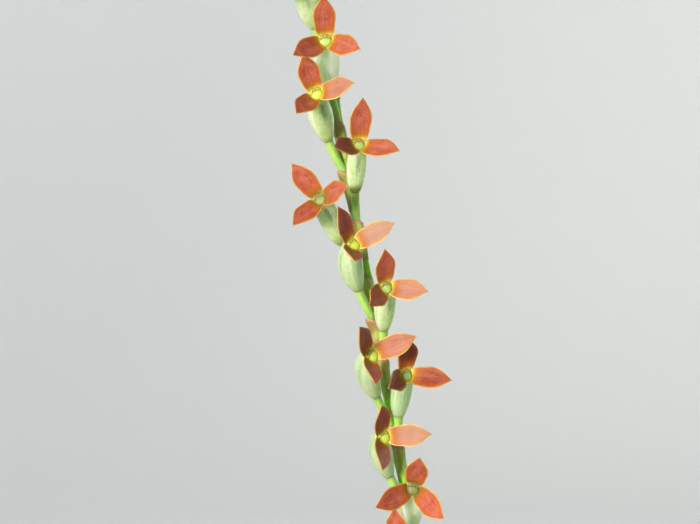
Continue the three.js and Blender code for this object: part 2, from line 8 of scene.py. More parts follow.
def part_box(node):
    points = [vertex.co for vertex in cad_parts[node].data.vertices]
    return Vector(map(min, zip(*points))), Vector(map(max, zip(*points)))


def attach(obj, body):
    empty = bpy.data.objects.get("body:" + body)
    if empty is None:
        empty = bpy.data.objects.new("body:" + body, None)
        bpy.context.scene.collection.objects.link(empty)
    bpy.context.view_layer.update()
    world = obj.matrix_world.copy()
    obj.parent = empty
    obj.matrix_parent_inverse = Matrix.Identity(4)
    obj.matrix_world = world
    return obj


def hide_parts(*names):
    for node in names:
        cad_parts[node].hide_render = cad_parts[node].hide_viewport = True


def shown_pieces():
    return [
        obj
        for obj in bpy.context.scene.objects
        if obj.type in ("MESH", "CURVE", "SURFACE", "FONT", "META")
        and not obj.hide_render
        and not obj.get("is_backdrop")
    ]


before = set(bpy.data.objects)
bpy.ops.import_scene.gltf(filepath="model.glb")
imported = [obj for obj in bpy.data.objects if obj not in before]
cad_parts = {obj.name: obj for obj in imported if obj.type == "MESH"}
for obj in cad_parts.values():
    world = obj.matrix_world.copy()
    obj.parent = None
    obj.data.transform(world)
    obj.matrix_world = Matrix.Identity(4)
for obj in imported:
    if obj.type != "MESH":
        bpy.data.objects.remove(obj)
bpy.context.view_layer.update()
mm = 0.001               # every size below is in millimetres, and meshes are made in metres
turn = 2 * math.pi
print("the frame is loaded")

# Small tools


def unit(v):
    return v / np.linalg.norm(v)


def point(x, y, z):
    return np.array((x, y, z), float)


# A smooth curve through points, the same one that the solids follow.
def curveThrough(points):
    points = [np.array(p, float) for p in points]

    def at(share):
        step = min(share, 1) * (len(points) - 1)
        index = min(int(step), len(points) - 2)
        part = step - index
        b, c = points[index], points[index + 1]
        a = points[index - 1] if index else 2 * b - c
        d = points[index + 2] if index + 2 < len(points) else 2 * c - b
        gap = [np.linalg.norm(q - p) ** 0.5 for p, q in ((a, b), (b, c), (c, d))]
        leave = (b - a) / gap[0] - (c - a) / (gap[0] + gap[1]) + (c - b) / gap[1]
        arrive = (c - b) / gap[1] - (d - b) / (gap[1] + gap[2]) + (d - c) / gap[2]
        leave, arrive = leave * gap[1], arrive * gap[1]
        return (b + leave * part + (3 * (c - b) - 2 * leave - arrive) * part**2
                + (2 * (b - c) + leave + arrive) * part**3)

    return at


def bezier(*corners):
    def at(share):
        row = [np.array(c, float) for c in corners]
        while len(row) > 1:
            row = [p + (q - p) * share for p, q in zip(row, row[1:])]
        return row[0]

    return at


def directionOf(path, share, step=1e-4):
    return unit(path(min(1, share + step)) - path(max(0, share - step)))


# The same path by the length along it, and the length at a share of the path.
def evenly(path, count=400):
    shares = np.linspace(0, 1, count)
    points = np.array([path(s) for s in shares])
    lengths = np.append(0, np.cumsum(np.linalg.norm(np.diff(points, axis=0), axis=1)))

    def at(length):
        return path(np.interp(length, lengths, shares))

    at.length = lengths[-1]
    at.lengthAt = lambda share: np.interp(share, shares, lengths)
    return at


def crossways(direction, guide):
    across = unit(guide - direction * (guide @ direction))
    return across, np.cross(direction, across)


# A smooth value through a table of (share, value).
def smooth(table, share):
    xs, ys = np.array(table, float).T
    slopes = np.gradient(ys, xs)
    i = np.clip(np.searchsorted(xs, share) - 1, 0, len(xs) - 2)
    wide = xs[i + 1] - xs[i]
    t = (np.asarray(share) - xs[i]) / wide
    return (ys[i] * (1 + 2 * t) * (1 - t) ** 2 + ys[i + 1] * t * t * (3 - 2 * t)
            + wide * slopes[i] * t * (1 - t) ** 2 + wide * slopes[i + 1] * t * t * (t - 1))


def ramp(value, low, high):
    t = np.clip((np.asarray(value, float) - low) / (high - low), 0, 1)
    return t * t * (3 - 2 * t)


def grain(p, size, seed=0.0):
    return noise.noise(Vector(p) / size + Vector((seed, -seed, 0.37 * seed)))


# A ring of points round a middle, from its angles and radii and the two directions across it.
def ringOf(angle, radius, across, beside):
    return np.outer(radius * np.cos(angle), across) + np.outer(radius * np.sin(angle), beside)


def anglesRound(count):
    return np.arange(count) * turn / count


def levelRing(angle, radius, height):
    height = np.full(len(angle), float(height))
    return np.stack([radius * np.cos(angle), radius * np.sin(angle), height], -1)


def putInScene(name, data):
    thing = bpy.data.objects.new(name, data)
    bpy.context.scene.collection.objects.link(thing)
    return thing


def newMesh(name, points, faces, finish=None):
    mesh = bpy.data.meshes.new(name)
    mesh.from_pydata((np.array(points) * mm).tolist(), [], faces)
    if finish:
        mesh.shade_smooth()
        mesh.materials.append(finish)
    return mesh


# A closed skin over rings of points, and a value at each point under each key. An end is
# closed by a fan, or flat from edge to edge.
def loft(rings, values, ends=("fan", "fan")):
    rings = np.asarray(rings)
    count, sides = rings.shape[:2]
    number = np.arange(count * sides).reshape(count, sides)
    after = np.roll(number, -1, axis=1)
    quads = np.stack([number[:-1], after[:-1], after[1:], number[1:]], -1).reshape(-1, 4)
    points = list(rings.reshape(-1, 3))
    faces = quads.tolist()
    fields = {key: list(np.broadcast_to(value, (count, sides)).reshape(-1))
              for key, value in values.items()}
    for ring, way, end in ((0, -1, ends[0]), (count - 1, 1, ends[1])):
        row = number[ring]
        if end == "fan":
            points.append(rings[ring].mean(0))
            for key in fields:
                fields[key].append(np.mean([fields[key][i] for i in row]))
            for i in range(sides):
                faces.append([row[i], row[(i + 1) % sides], len(points) - 1][::way])
        else:
            for i in range(sides // 2):
                pair = [row[i], row[i + 1], row[-i - 1], row[-i]]
                faces.append(list(dict.fromkeys(pair))[::way])
    flat = np.array(points)
    first, second, third = (flat[[face[k] for face in faces]] for k in range(3))
    if (first * np.cross(second, third)).sum() < 0:          # the volume, negative when inside out
        faces = [face[::-1] for face in faces]
    return flat, faces, fields


# One object from several skins, with its finish and its place in the frame.
def piece(name, forms, finish, replaces=()):
    faces = []
    start = 0
    for form in forms:
        faces += [[start + i for i in face] for face in form[1]]
        start += len(form[0])
    mesh = newMesh(name, np.concatenate([form[0] for form in forms]), faces, finish)
    for key in forms[0][2]:
        layer = mesh.attributes.new(key, "FLOAT", "POINT")
        values = np.concatenate([form[2][key] for form in forms])
        layer.data.foreach_set("value", values.astype(np.float32))
    return settle(putInScene(name, mesh), replaces)


def settle(thing, replaces=()):
    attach(thing, "root")
    if replaces:
        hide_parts(*replaces)
    return thing


# Colours and materials

def colour(code):
    channels = [int(code[i:i + 2], 16) / 255 for i in (1, 3, 5)]
    linear = [c / 12.92 if c <= 0.04045 else ((c + 0.055) / 1.055) ** 2.4 for c in channels]
    return (*linear, 1)


# Adds one node, with its settings and with a value or a link for each named socket. A node
# given for a socket is linked from its first output.
def addNode(tree, kind, sockets=None, **settings):
    node = tree.nodes.new(kind)
    for name, value in settings.items():
        setattr(node, name, value)
    for key, value in (sockets or {}).items():
        if isinstance(value, bpy.types.Node):
            value = value.outputs[0]
        if isinstance(value, bpy.types.NodeSocket):
            tree.links.new(value, node.inputs[key])
        else:
            node.inputs[key].default_value = value
    return node


# A new finish, and the fields of its piece that its colours follow.
def newFinish(name, fields=(), **values):
    finish = bpy.data.materials.new(name)
    finish.use_nodes = True
    tree = finish.node_tree
    shader = tree.nodes["Principled BSDF"]
    for key, value in values.items():
        shader.inputs[key.replace("_", " ")].default_value = value
    sources = [addNode(tree, "ShaderNodeAttribute", attribute_name=field) for field in fields]
    return (finish, tree, shader, *[source.outputs["Fac"] for source in sources])


# A grain of a real size in millimetres on the piece's own coordinates. A stretch below 1 draws
# it out along an axis, and a swirl bends it.
def grainPattern(tree, size, detail=3, stretch=None, swirl=0):
    place = addNode(tree, "ShaderNodeTexCoord").outputs["Object"]
    if stretch:
        place = addNode(tree, "ShaderNodeMapping", {"Vector": place, "Scale": stretch})
    sockets = {"Vector": place, "Scale": 1 / (size * mm), "Detail": detail, "Distortion": swirl}
    return addNode(tree, "ShaderNodeTexNoise", sockets).outputs["Fac"]


# Coats of colour over a first tone. A coat is its colour and one or more ranges, which are
# multiplied: a pattern, its values where the coat starts and where it is full, and the share
# of the coat at both, 0 and 1 where none is given. A pattern alone is itself the share.
def coats(tree, tone, *rows):
    for upper, *ranges in rows:
        share = None
        for source, *limits in ranges:
            if limits:
                low, high, least, most = (*limits, 0, 1)[:4]
                sockets = {"From Min": low, "From Max": high, "To Min": least, "To Max": most}
                source = addNode(tree, "ShaderNodeMapRange", {"Value": source, **sockets},
                                 interpolation_type="SMOOTHSTEP")
            if share:
                source = addNode(tree, "ShaderNodeMath", {0: share, 1: source}, operation="MULTIPLY")
            share = source
        lower, upper = (colour(c) if isinstance(c, str) else c for c in (tone, upper))
        mixed = addNode(tree, "ShaderNodeMix", {0: share, 6: lower, 7: upper}, data_type="RGBA")
        tone = mixed.outputs[2]
    return tone


# Gives a finish its colour, and bumps from patterns, each with its depth in millimetres.
def paint(tree, shader, tone, *bumps):
    tree.links.new(tone, shader.inputs["Base Color"])
    normal = None
    for height, depth in bumps:
        sockets = {"Height": height, "Distance": depth * mm, "Strength": 1}
        if normal:
            sockets["Normal"] = normal
        normal = addNode(tree, "ShaderNodeBump", sockets)
    if normal:
        tree.links.new(normal.outputs[0], shader.inputs["Normal"])


# The camera and the studio

view = {"distance": 230, "centre": (0, 0, 252), "width": 98, "sensor": 36, "nearest": 10}


def makeCamera():
    lens = bpy.data.cameras.new("camera")
    lens.sensor_width = view["sensor"]
    lens.lens = view["sensor"] * view["distance"] / view["width"]
    lens.clip_start = view["nearest"] * mm
    camera = putInScene("camera", lens)
    x, y, z = view["centre"]
    camera.location = Vector((x, y - view["distance"], z)) * mm
    camera.rotation_euler = (math.pi / 2, 0, 0)
    bpy.context.scene.camera = camera


studio = {"floorRadius": 1500, "bend": 900, "bendSteps": 12, "wallTop": 2600, "sides": 96,
          "tone": "#E6E8E7"}


# The floor turns up all round into a low wall, so no edge shows from any side.
# The paper is matt, so it stays an even pale grey without a shine.
def makeStudio():
    finish = newFinish("matt studio paper", Base_Color=colour(studio["tone"]), Roughness=0.95)[0]
    outline = [(studio["floorRadius"], 0)]
    for step in range(studio["bendSteps"] + 1):
        angle = step / studio["bendSteps"] * turn / 4
        outline.append((studio["floorRadius"] + studio["bend"] * math.sin(angle),
                        studio["bend"] * (1 - math.cos(angle))))
    outline.append((studio["floorRadius"] + studio["bend"], studio["wallTop"]))
    sides = studio["sides"]
    points = [(0, 0, 0)]
    for radius, height in outline:
        for side in range(sides):
            angle = turn * side / sides
            points.append((radius * math.cos(angle), radius * math.sin(angle), height))
    faces = [(0, 1 + side, 1 + (side + 1) % sides) for side in range(sides)]
    for row in range(len(outline) - 1):
        for side in range(sides):
            a, b = 1 + row * sides + side, 1 + row * sides + (side + 1) % sides
            faces.append((a, a + sides, b + sides, b))
    putInScene("studio_floor", newMesh("studio_floor", points, faces, finish))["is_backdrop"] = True


# Lamps: where each stands, where it looks, its width, its power and, for a spot lamp, the
# angle of its soft cone. The wall lamps hang over the plant back to back, so they make the
# paper pale and shine past the plant.
lamps = {
    "key": {"place": (-462, -801, 345), "aim": (0, 0, 235), "width": 260, "power": 73, "cone": 58,
            "tint": "#FFF4E6"},
    "rim": {"place": (620, 720, 420), "aim": (0, 0, 190), "width": 400, "power": 8, "cone": 64,
            "tint": "#FFFFFF"},
}
wallLamps = {"powers": (7.5, 15.5, 15.5, 7.5, 6.5, 6.5), "height": 1500, "out": 60, "dip": -2,
             "width": 900, "tint": "#FFFFFF"}
air = {"tint": "#F2F5F8", "strength": 0.14}


def hangLamp(name, place, aim, lamp):
    light = bpy.data.lights.new(name, "SPOT" if "cone" in lamp else "AREA")
    if "cone" in lamp:
        light.spot_size = math.radians(lamp["cone"])
        light.spot_blend = 1
        light.shadow_soft_size = lamp["width"] * mm / 2
    else:
        light.shape = "DISK"
        light.size = lamp["width"] * mm
    light.energy = lamp["power"]
    light.color = colour(lamp["tint"])[:3]
    holder = putInScene(name, light)
    holder.location = Vector(place) * mm
    holder.rotation_euler = (Vector(aim) - Vector(place)).to_track_quat("-Z", "Y").to_euler()
    holder.visible_camera = False


def makeLamps():
    for name, lamp in lamps.items():
        hangLamp(name, lamp["place"], lamp["aim"], lamp)
    dip = math.radians(wallLamps["dip"])
    for i, power in enumerate(wallLamps["powers"]):
        angle = turn * i / len(wallLamps["powers"])
        way = Vector((math.cos(angle) * math.cos(dip), math.sin(angle) * math.cos(dip), -math.sin(dip)))
        place = Vector((0, 0, wallLamps["height"])) + way * wallLamps["out"]
        hangLamp(f"wall_lamp_{i + 1}", place, place + way, {**wallLamps, "power": power})
    world = bpy.data.worlds.new("studio air")
    world.use_nodes = True
    background = world.node_tree.nodes["Background"]
    background.inputs["Color"].default_value = colour(air["tint"])
    background.inputs["Strength"].default_value = air["strength"]
    bpy.context.scene.world = world
    bpy.context.scene.view_settings.view_transform = "Standard"
    bpy.context.scene.view_settings.look = "None"


makeCamera()
makeStudio()
makeLamps()
print("camera, floor and lamps are placed")

# Where everything grows. These values are the ones that the solids were made from.

plant = {"barkTop": 72, "rhizomeLine": 73.2, "stemFoot": 75.4, "stemRadius": 1.05, "upright": 0.32,
         "droop": 1.9, "stalkRise": 3.2, "stalkInset": 1.5}
stems = [
    {"x": 20, "y": 3, "toward": 35, "lean": 17, "stem": 46, "blade": 66, "width": 17},
    {"x": 12, "y": -9, "toward": -50, "lean": 27, "stem": 34, "blade": 58, "width": 15},
    {"x": 10, "y": 12, "toward": 75, "lean": 18, "stem": 44, "blade": 70, "width": 18},
    {"x": 0, "y": 3, "toward": 140, "lean": 9, "stem": 42, "blade": 68, "width": 17},
    {"x": -7, "y": -11, "toward": -105, "lean": 30, "stem": 32, "blade": 55, "width": 15},
    {"x": -9, "y": 12, "toward": 115, "lean": 21, "stem": 40, "blade": 64, "width": 16},
    {"x": -18, "y": -2, "toward": 195, "lean": 20, "stem": 38, "blade": 62, "width": 17},
    {"x": -26, "y": 7, "toward": 160, "lean": 36, "stem": 30, "blade": 50, "width": 14},
]
rhizomeRuns = [[7, 6, 5, 3, 2, 0], [4, 3, 1]]


def outwardOf(item):
    angle = math.radians(item["toward"])
    return point(math.cos(angle), math.sin(angle), 0)


def tilted(outward, angle):
    return outward * math.sin(angle) + point(0, 0, 1) * math.cos(angle)


def stemDirection(item):
    return tilted(outwardOf(item), math.radians(plant["upright"] * item["lean"]))


def leafLine(item):
    foot = point(item["x"], item["y"], plant["stemFoot"])
    top = foot + stemDirection(item) * item["stem"]
    lean = math.radians(item["lean"])
    middle = top + tilted(outwardOf(item), lean) * item["blade"] / 2
    end = middle + tilted(outwardOf(item), plant["droop"] * lean) * item["blade"] / 2
    return foot, top, bezier(top, middle, end)


heart = point(2, 0, 252)
stalkFoot = (leafLine(stems[0])[1] + point(0, 0, plant["stalkRise"])
             - outwardOf(stems[0]) * plant["stalkInset"])
stalkLine = curveThrough([
    stalkFoot,
    stalkFoot + point(-0.6, -0.5, 14),
    heart + point(12.2, 0.6, -70),
    heart + point(6.6, 0, -36.7),
    heart + point(3.4, 0, -19.3),
    heart,
    heart + point(-2.8, 0, 14.3),
    heart + point(-6, 0, 36.7),
    heart + point(-10.4, 0, 62),
    heart + point(-14.6, -1.6, 80),
])


stalkSteps = 2001        # of the table that finds the axis at a height
stalkShares = np.linspace(0, 1, stalkSteps)
stalkHeights = [stalkLine(share)[2] for share in stalkShares]


# The point of the raceme's axis at a height, and the way it grows there.
def stalkAt(z):
    share = np.interp(z, stalkHeights, stalkShares)
    return stalkLine(share), directionOf(stalkLine, share)


# The flowers that face the camera, from the top down: x and z of the mouth from the heart
# of the raceme, how far it looks right and up and the turn of its upper lobe in degrees,
# how far it stands out in front, and how full its tube is.
facedBlooms = [
    (-8.6, 38.5, -15, 15, -20, 7, 1),
    (-5.3, 30.0, 0, 5, -5, 8, 1),
    (-6.6, 22.9, 0, 15, -30, 7, 0.95),
    (-0.8, 16.0, 15, 20, 0, 7, 0.75),
    (-6.1, 8.6, -20, 10, -35, 7, 0.86),
    (-1.6, 2.4, 25, 25, -40, 7, 1),
    (2.9, -3.4, 20, 10, -15, 7, 0.82),
    (0.9, -12.5, 30, 10, -50, 9.5, 0.96),
    (5.7, -15.4, 25, 10, -8, 5.2, 0.8),
    (2.6, -23.7, 30, 5, -30, 7, 0.9),
    (6.6, -30.7, -5, -5, 10, 7, 0.84),
]
# Small differences between lobes that are seen closely: flower, then for each of its three
# lobes how many degrees it is turned, how long it is and how much narrower towards its tip.
lobeChanges = {
    "06": ((2, 0.97, 0), (0, 0.98, 0), (0, 1, 0.1)),
    "07": ((7, 0.84, 0), (1, 0.98, 0), (0, 0.97, 0.15)),
    "08": ((0, 0.96, 0), (2, 0.98, 0), (2, 1.04, 0.08)),
    "09": ((0, 0.93, 0), (-2, 1.1, 0), (0, 0.93, 0.1)),
    "10": ((0, 0.93, 0.1), (-6, 0.94, 0), (8, 0.95, 0.3)),
    "11": ((-1, 0.89, 0.1), (0, 0.88, 0), (7, 1.06, 0.38)),
    "12": ((0, 1, 0.1), (-2, 0.98, 0), (16, 0.92, 0.35)),
    "13": ((-2, 0.82, 0), (-6, 0.95, 0), (15, 1.1, 0.35)),
    "14": ((0, 0.95, 0.1), (-1, 0.97, 0), (5, 1.02, 0.25)),
    "15": ((2, 1, 0), (-3, 1.02, 0), (0, 1, 0)),
    "16": ((34, 0.74, 0.3), (8, 1, 0), (8, 1, 0)),
}
# How deep the colour of each lobe is, which paints light and shade on it: -1 is pale and golden,
# a painted sheen on a lit lobe, 1 is a deep brownish red, painted shade on a shaded one.
lobeShadeAndSheen = {
    "05": (0.1, -0.2, 0),
    "06": (0, -0.2, 0.1),
    "07": (0.2, -0.6, 0.2),
    "08": (0.1, -0.2, 0.9),
    "09": (0, -0.2, 0),
    "10": (0.9, -0.9, 0.3),
    "11": (0.1, -0.6, 0.2),
    "12": (1, -0.5, 0.1),
    "13": (1.2, 0.9, 1),
    "14": (0.8, -0.7, 0.3),
    "15": (0.2, 0, 0.2),
}
# Flowers whose tube stands a little to the right of the others' line, in millimetres; painted
# light on the tubes: above 0 a paler tube, painted light where a tube lies in shade, below 0 a
# greyer one, painted shade where a tube is brightly lit; flowers with a browner bract; and the
# painted light and age of each middle: bright yellow green at -1, painted light where the middle
# lies in shade, olive at 1, an older middle.
tubeShifts = {"08": 0.3, "11": 0.8, "13": 0.4}
tubeLightAndShade = {"05": 0.1, "06": 1.0, "10": -0.5, "12": -0.5, "13": -0.8, "14": -0.7, "15": 0.8}
brownBracts = {"06": 0.4, "07": 0.6, "08": 0.6, "10": 1.0, "12": 0.5, "15": 0.6}
centreLightAndAge = {"07": -0.6, "09": 0.7, "10": -1, "11": 0.2, "12": -0.9, "14": -0.9, "15": 0.9}
following = {"above": 4, "below": 6, "spacing": 7, "closer": 0.05, "smaller": 0.09,
             "right": 18, "rise": 14, "rolls": (-35, -10), "full": (0.97, 0.84)}
bloom = {"reach": 11.2, "forward": 7, "aside": 2.2, "climb": 4.6, "jut": 2.1, "drift": 0.45,
         "neck": 3.6, "sag": 1.4, "tubeFrom": 0.37, "seam": 0.02, "overlap": 0.02, "pedicelSteps": 16,
         "seedStep": 7.31}


def followingBloom(z, index, size):
    right = index % 2
    side = 1 if right else -1
    joint, way = stalkAt(z)
    mouth = joint + (way * bloom["reach"] + point(side * bloom["aside"], -bloom["forward"], 0)) * size
    return {"mouth": mouth, "size": size, "right": following["right"] * side, "rise": following["rise"],
            "roll": following["rolls"][right], "full": following["full"][right]}


def arrangeBlooms():
    rows = [{"mouth": heart + point(x, -forward, z), "size": 1, "right": right, "rise": rise,
             "roll": roll, "full": full} for x, z, right, rise, roll, forward, full in facedBlooms]
    highest, lowest = rows[0]["mouth"][2] - bloom["reach"], rows[-1]["mouth"][2] - bloom["reach"]
    for i in range(1, following["below"] + 1):
        rows.append(followingBloom(lowest - i * following["spacing"], i - 1, 1))
    for i in range(1, following["above"] + 1):
        climb = i * following["spacing"] * (1 - following["closer"] * i)
        rows.insert(0, followingBloom(highest + climb, i, 1 - following["smaller"] * i))
    for number, row in enumerate(rows):
        yaw, pitch = math.radians(row["right"]), math.radians(row["rise"])
        ahead = point(math.sin(yaw), -math.cos(yaw), 0)
        row["name"] = f"{number + 1:02d}"
        row["seed"] = number * bloom["seedStep"]
        row["lobes"] = lobeChanges.get(row["name"], ((0, 1, 0),) * 3)
        row["depths"] = lobeShadeAndSheen.get(row["name"], (0.1, -0.2, 0.3))
        row["lightAndAge"] = centreLightAndAge.get(row["name"], 0)
        row["normal"] = tilted(ahead, math.pi / 2 - pitch)
        row["above"] = tilted(ahead, -pitch)
        row["aside"] = point(math.cos(yaw), math.sin(yaw), 0)
        row["joint"], way = stalkAt(row["mouth"][2] - bloom["reach"] * row["size"])
        first = row["joint"] + way * bloom["climb"] * row["size"]
        first[0] += bloom["drift"] * (row["mouth"][0] - row["joint"][0])
        first[1] -= bloom["jut"] * row["size"]
        second = row["mouth"] - row["normal"] * bloom["neck"] * row["size"]
        second[2] -= bloom["sag"] * row["size"]
        for bend in (first, second):
            bend[0] += tubeShifts.get(row["name"], 0)
        row["arch"] = bezier(row["joint"], first, second, row["mouth"])
    return rows


blooms = arrangeBlooms()
print(len(blooms), "flowers are arranged")


# The directions in the plane of a flower's mouth: outwards at some degrees from its top, and
# across that.
def inMouth(item, degrees):
    angle = math.radians(item["roll"] + degrees)
    out = item["aside"] * math.sin(angle) + item["above"] * math.cos(angle)
    return out, item["aside"] * math.cos(angle) - item["above"] * math.sin(angle)


# Free lobes of the sepals: thick fleshy blades, satin and finely grainy like fresh petals,
# salmon in the middle, orange towards a thin yellow edge, with a pale point.

lobe = {"stations": 30, "columns": 17, "rimAngle": 59, "halfThickness": 0.2, "cup": 0.26,
        "groove": 0.07, "grooveWidth": 0.14, "waver": 0.06, "waverSize": 0.8, "flatFrom": -0.05,
        "flatAt": 0.34, "tipFrom": 0.3, "tipAt": 0.9, "crowding": 0.9, "edgeThinning": 0.45,
        "pointThinning": 0.3, "pointFall": 5, "pointCurve": 0.7, "cupCurve": 0.8, "cupMiddle": 0.3,
        "bluntness": 8, "thinnest": 0.02, "probe": 0.02}
# Along the middle of a lobe, from inside the throat over the rim to the point: the distance
# from the middle of the mouth, and the height above it.
lobeLine = [(0.78, -0.42), (1.03, 0.04), (1.5, 0.64), (2.16, 1.36), (3.08, 2.3), (4.1, 3.26),
            (5.2, 4.2)]
lobeWidth = [(0, 1.05), (0.1, 1.17), (0.25, 1.38), (0.4, 1.53), (0.5, 1.55), (0.62, 1.41),
             (0.76, 1.02), (0.87, 0.57), (0.94, 0.27), (0.97, 0.15), (1, 0.06)]


# Fleshy sepals have a satin skin and hardly let light through.
def makeLobeFinish():
    finish, tree, shader, along, across, inside, depth, lightAndAge = newFinish(
        "fleshy sepal", ("along", "across", "inside", "depth", "lightAndAge"), Roughness=0.52, IOR=1.55,
        Specular_Tint=colour("#FFD6BA"), Subsurface_Weight=0.1, Subsurface_Scale=0.0006,
        Subsurface_Radius=(1, 0.3, 0.12))
    edge = addNode(tree, "ShaderNodeMath", {0: across}, operation="ABSOLUTE")
    patches = grainPattern(tree, 1.1)
    cells = grainPattern(tree, 0.15, detail=2)
    # Faint long veins: a grain drawn out along the lobe, about 0.25 mm wide.
    drawn = addNode(tree, "ShaderNodeMath", {0: along, 1: 0.22}, operation="MULTIPLY")
    blade = addNode(tree, "ShaderNodeCombineXYZ", {"X": across, "Y": drawn})
    veins = addNode(tree, "ShaderNodeTexNoise", {"Vector": blade, "Scale": 6, "Detail": 3})
    veins = veins.outputs["Fac"]
    # The patches break up the golden fringe along the edge.
    fringe = addNode(tree, "ShaderNodeMath", {0: patches, 1: 0.4, 2: edge}, operation="MULTIPLY_ADD")
    yellowing = addNode(tree, "ShaderNodeMath", {0: edge, 1: -0.05, 2: along}, operation="MULTIPLY_ADD")
    # The golden fringe and margin are the lobe's own colour; on lobes with depth below 0 they turn
    # paler, a painted sheen.
    golden = coats(tree, "#984C16", ("#A4804E", (depth, 0, -1)))
    yellow = coats(tree, "#AC8A22", ("#70501F", (lightAndAge, 0, 1)))
    green = coats(tree, "#B8BE48", ("#6E6A34", (lightAndAge, 0, 1)))
    goldenMarginAndSheen = coats(tree, "#C2984A", ("#C4AE7C", (depth, 0, -1)))
    back = coats(tree, "#8E4522", ("#9C8E40", (along, 0.45, 0, 0, 0.9)))
    front = coats(
        tree, "#98402E",
        ("#AA5A4A", (patches, 0.35, 0.65)),
        ("#762612", (veins, 0.5, 0.3, 0, 0.5)),
        # Pale cell speckles, partly the cells' own tone and partly painted glints.
        ("#C08A64", (cells, 0.52, 0.75, 0, 0.36)),
        # Painted sheen and shade: lobes with depth below 0 turn paler and pinkish grey, those above 0 a
        # deep brownish red.
        ("#947C6C", (depth, 0, -1, 0, 0.8)),
        ("#6A1C08", (depth, 0, 1, 0, 0.8)),
        # Painted sheen: pale streaks along the veins.
        ("#B08C70", (veins, 0.5, 0.68, 0, 0.2)),
        (golden, (fringe, 0.7, 1.15, 0, 0.9)),
        (golden, (along, 0.7, 1, 0, 0.75)),
        ("#9A5614", (along, 0.32, 0.1, 0, 0.8)),
        (yellow, (yellowing, 0.11, -0.01)),
        (green, (yellowing, 0.04, -0.05)))
    tone = coats(
        tree, back,
        (front, (inside,)),
        (goldenMarginAndSheen, (edge, 0.87, 0.97), (patches, 0.25, 0.6, 0.35, 0.95)),
        ("#A0A26C", (along, 0.955, 0.99)))
    paint(tree, shader, tone, (patches, 0.1), (veins, 0.06), (cells, 0.1))
    return finish


# Offsets a grid of points to both sides along its own normals, into the skin of a thin blade.
def thicken(grid, halfThickness, towards):
    normal = np.cross(np.gradient(grid, axis=0), np.gradient(grid, axis=1))
    normal /= np.linalg.norm(normal, axis=2)[:, :, None] + 1e-12
    if normal[len(grid) // 2, grid.shape[1] // 2] @ towards < 0:
        normal = -normal
    offset = normal * halfThickness[:, :, None]
    return np.concatenate([grid + offset, (grid - offset)[:, -2:0:-1]], axis=1)


def lobeForm(item, k):
    size, normal, seed = item["size"], item["normal"], item["seed"] + k
    turned, long, narrow = item["lobes"][k]
    out, across = inMouth(item, 120 * k + turned)
    root = np.array(lobeLine[1])
    line = lobeLine[:2] + [root + (np.array(p) - root) * long for p in lobeLine[2:]]
    line = evenly(curveThrough(line))
    rim = line.lengthAt(1 / (len(lobeLine) - 1))
    wide = np.sin(np.linspace(-1, 1, lobe["columns"]) * turn / 4)
    wide = np.sign(wide) * np.abs(wide) ** lobe["crowding"]
    steps = np.linspace(0, 1, lobe["stations"])
    lengths = steps * line.length
    along = (lengths - rim) / (line.length - rim)
    grid = []
    for length, share in zip(lengths, along):
        x, z = line(length)
        dx, dz = line(length + lobe["probe"]) - line(length - lobe["probe"])
        face = unit(normal * dx - out * dz)
        # From an arc of the rim to a flat blade.
        spread = ramp(share, lobe["flatFrom"], lobe["flatAt"])
        bow = math.radians(lobe["rimAngle"]) * wide
        arc = np.outer(x * np.cos(bow), out) + np.outer(x * np.sin(bow), across)
        waver = np.array([lobe["waver"] * grain((v, 3 * share, seed), lobe["waverSize"]) * abs(v)
                          for v in wide])
        cup = lobe["cup"] * math.sin(math.pi * min(1, max(0, share)) ** lobe["cupCurve"])
        height = cup * (wide**2 - lobe["cupMiddle"]) + waver
        groove = np.exp(-((wide / lobe["grooveWidth"]) ** 2))
        height -= lobe["groove"] * groove * math.sqrt(max(0, 1 - share))
        narrowing = 1 - narrow * ramp(share, lobe["tipFrom"], lobe["tipAt"])
        width = smooth(lobeWidth, max(0, share)) * narrowing
        blade = x * out + np.outer(wide * width, across) + np.outer(height, face)
        grid.append(item["mouth"] + size * (arc * (1 - spread) + blade * spread + normal * z))
    body = np.sqrt(np.maximum(lobe["thinnest"], 1 - wide ** lobe["bluntness"]))
    body = body * (1 - lobe["edgeThinning"] * wide**2)
    thin = np.clip(lobe["pointFall"] * (1 - steps), lobe["pointThinning"], 1) ** lobe["pointCurve"]
    rings = thicken(np.array(grid), np.outer(thin, body) * lobe["halfThickness"] * size, normal)
    both = np.concatenate([wide, wide[-2:0:-1]])
    inner = np.concatenate([np.ones(len(wide)), np.zeros(len(wide) - 2)])
    # depth carries the painted shade and sheen of each lobe.
    return loft(rings, {"along": along[:, None], "across": both, "inside": inner, "lightAndAge": item["lightAndAge"],
                        "depth": item["depths"][k]})


def makeLobes(finish):
    for item in blooms:
        forms = [lobeForm(item, k) for k in range(3)]
        replaced = f"bloom_{item['name']}_lobes"
        piece("sepal_lobes_" + item["name"], forms, finish, [replaced])


makeLobes(makeLobeFinish())
print("the free lobes are made")

# Tubes of the joined sepals: thin, waxy and slightly see-through like a grape's skin, pale
# green with a soft grey-green smear on the upper half of each face and a lighter keel between.

tube = {"sides": 60, "steps": 36, "keel": 0.05, "keelWidth": 0.14, "seamDepth": 0.025,
        "seamWidth": 0.13, "faceWidth": 0.3, "flat": 0.045, "ribs": 0.008, "closing": 0.7,
        "uneven": 0.02, "unevenSize": 0.6, "unevenRise": 2, "ribCount": 15, "fullCurve": 0.7,
        "reliefCurve": 0.6, "brown": 0.15}
# Flowers whose foot has aged to an olive brown.
brownFeet = {"08": 1.0, "09": 0.6, "15": 0.9, "17": 0.7}
tubeOutline = [(0, 0.66), (0.035, 0.86), (0.09, 1.06), (0.2, 1.38), (0.36, 1.66), (0.52, 1.75),
               (0.66, 1.69), (0.8, 1.5), (0.92, 1.3), (1, 1.22)]
throat = [(1.1, 0.08), (0.94, 0.1), (0.8, 0.1), (0.6, 0.08), (0.3, 0.06)]


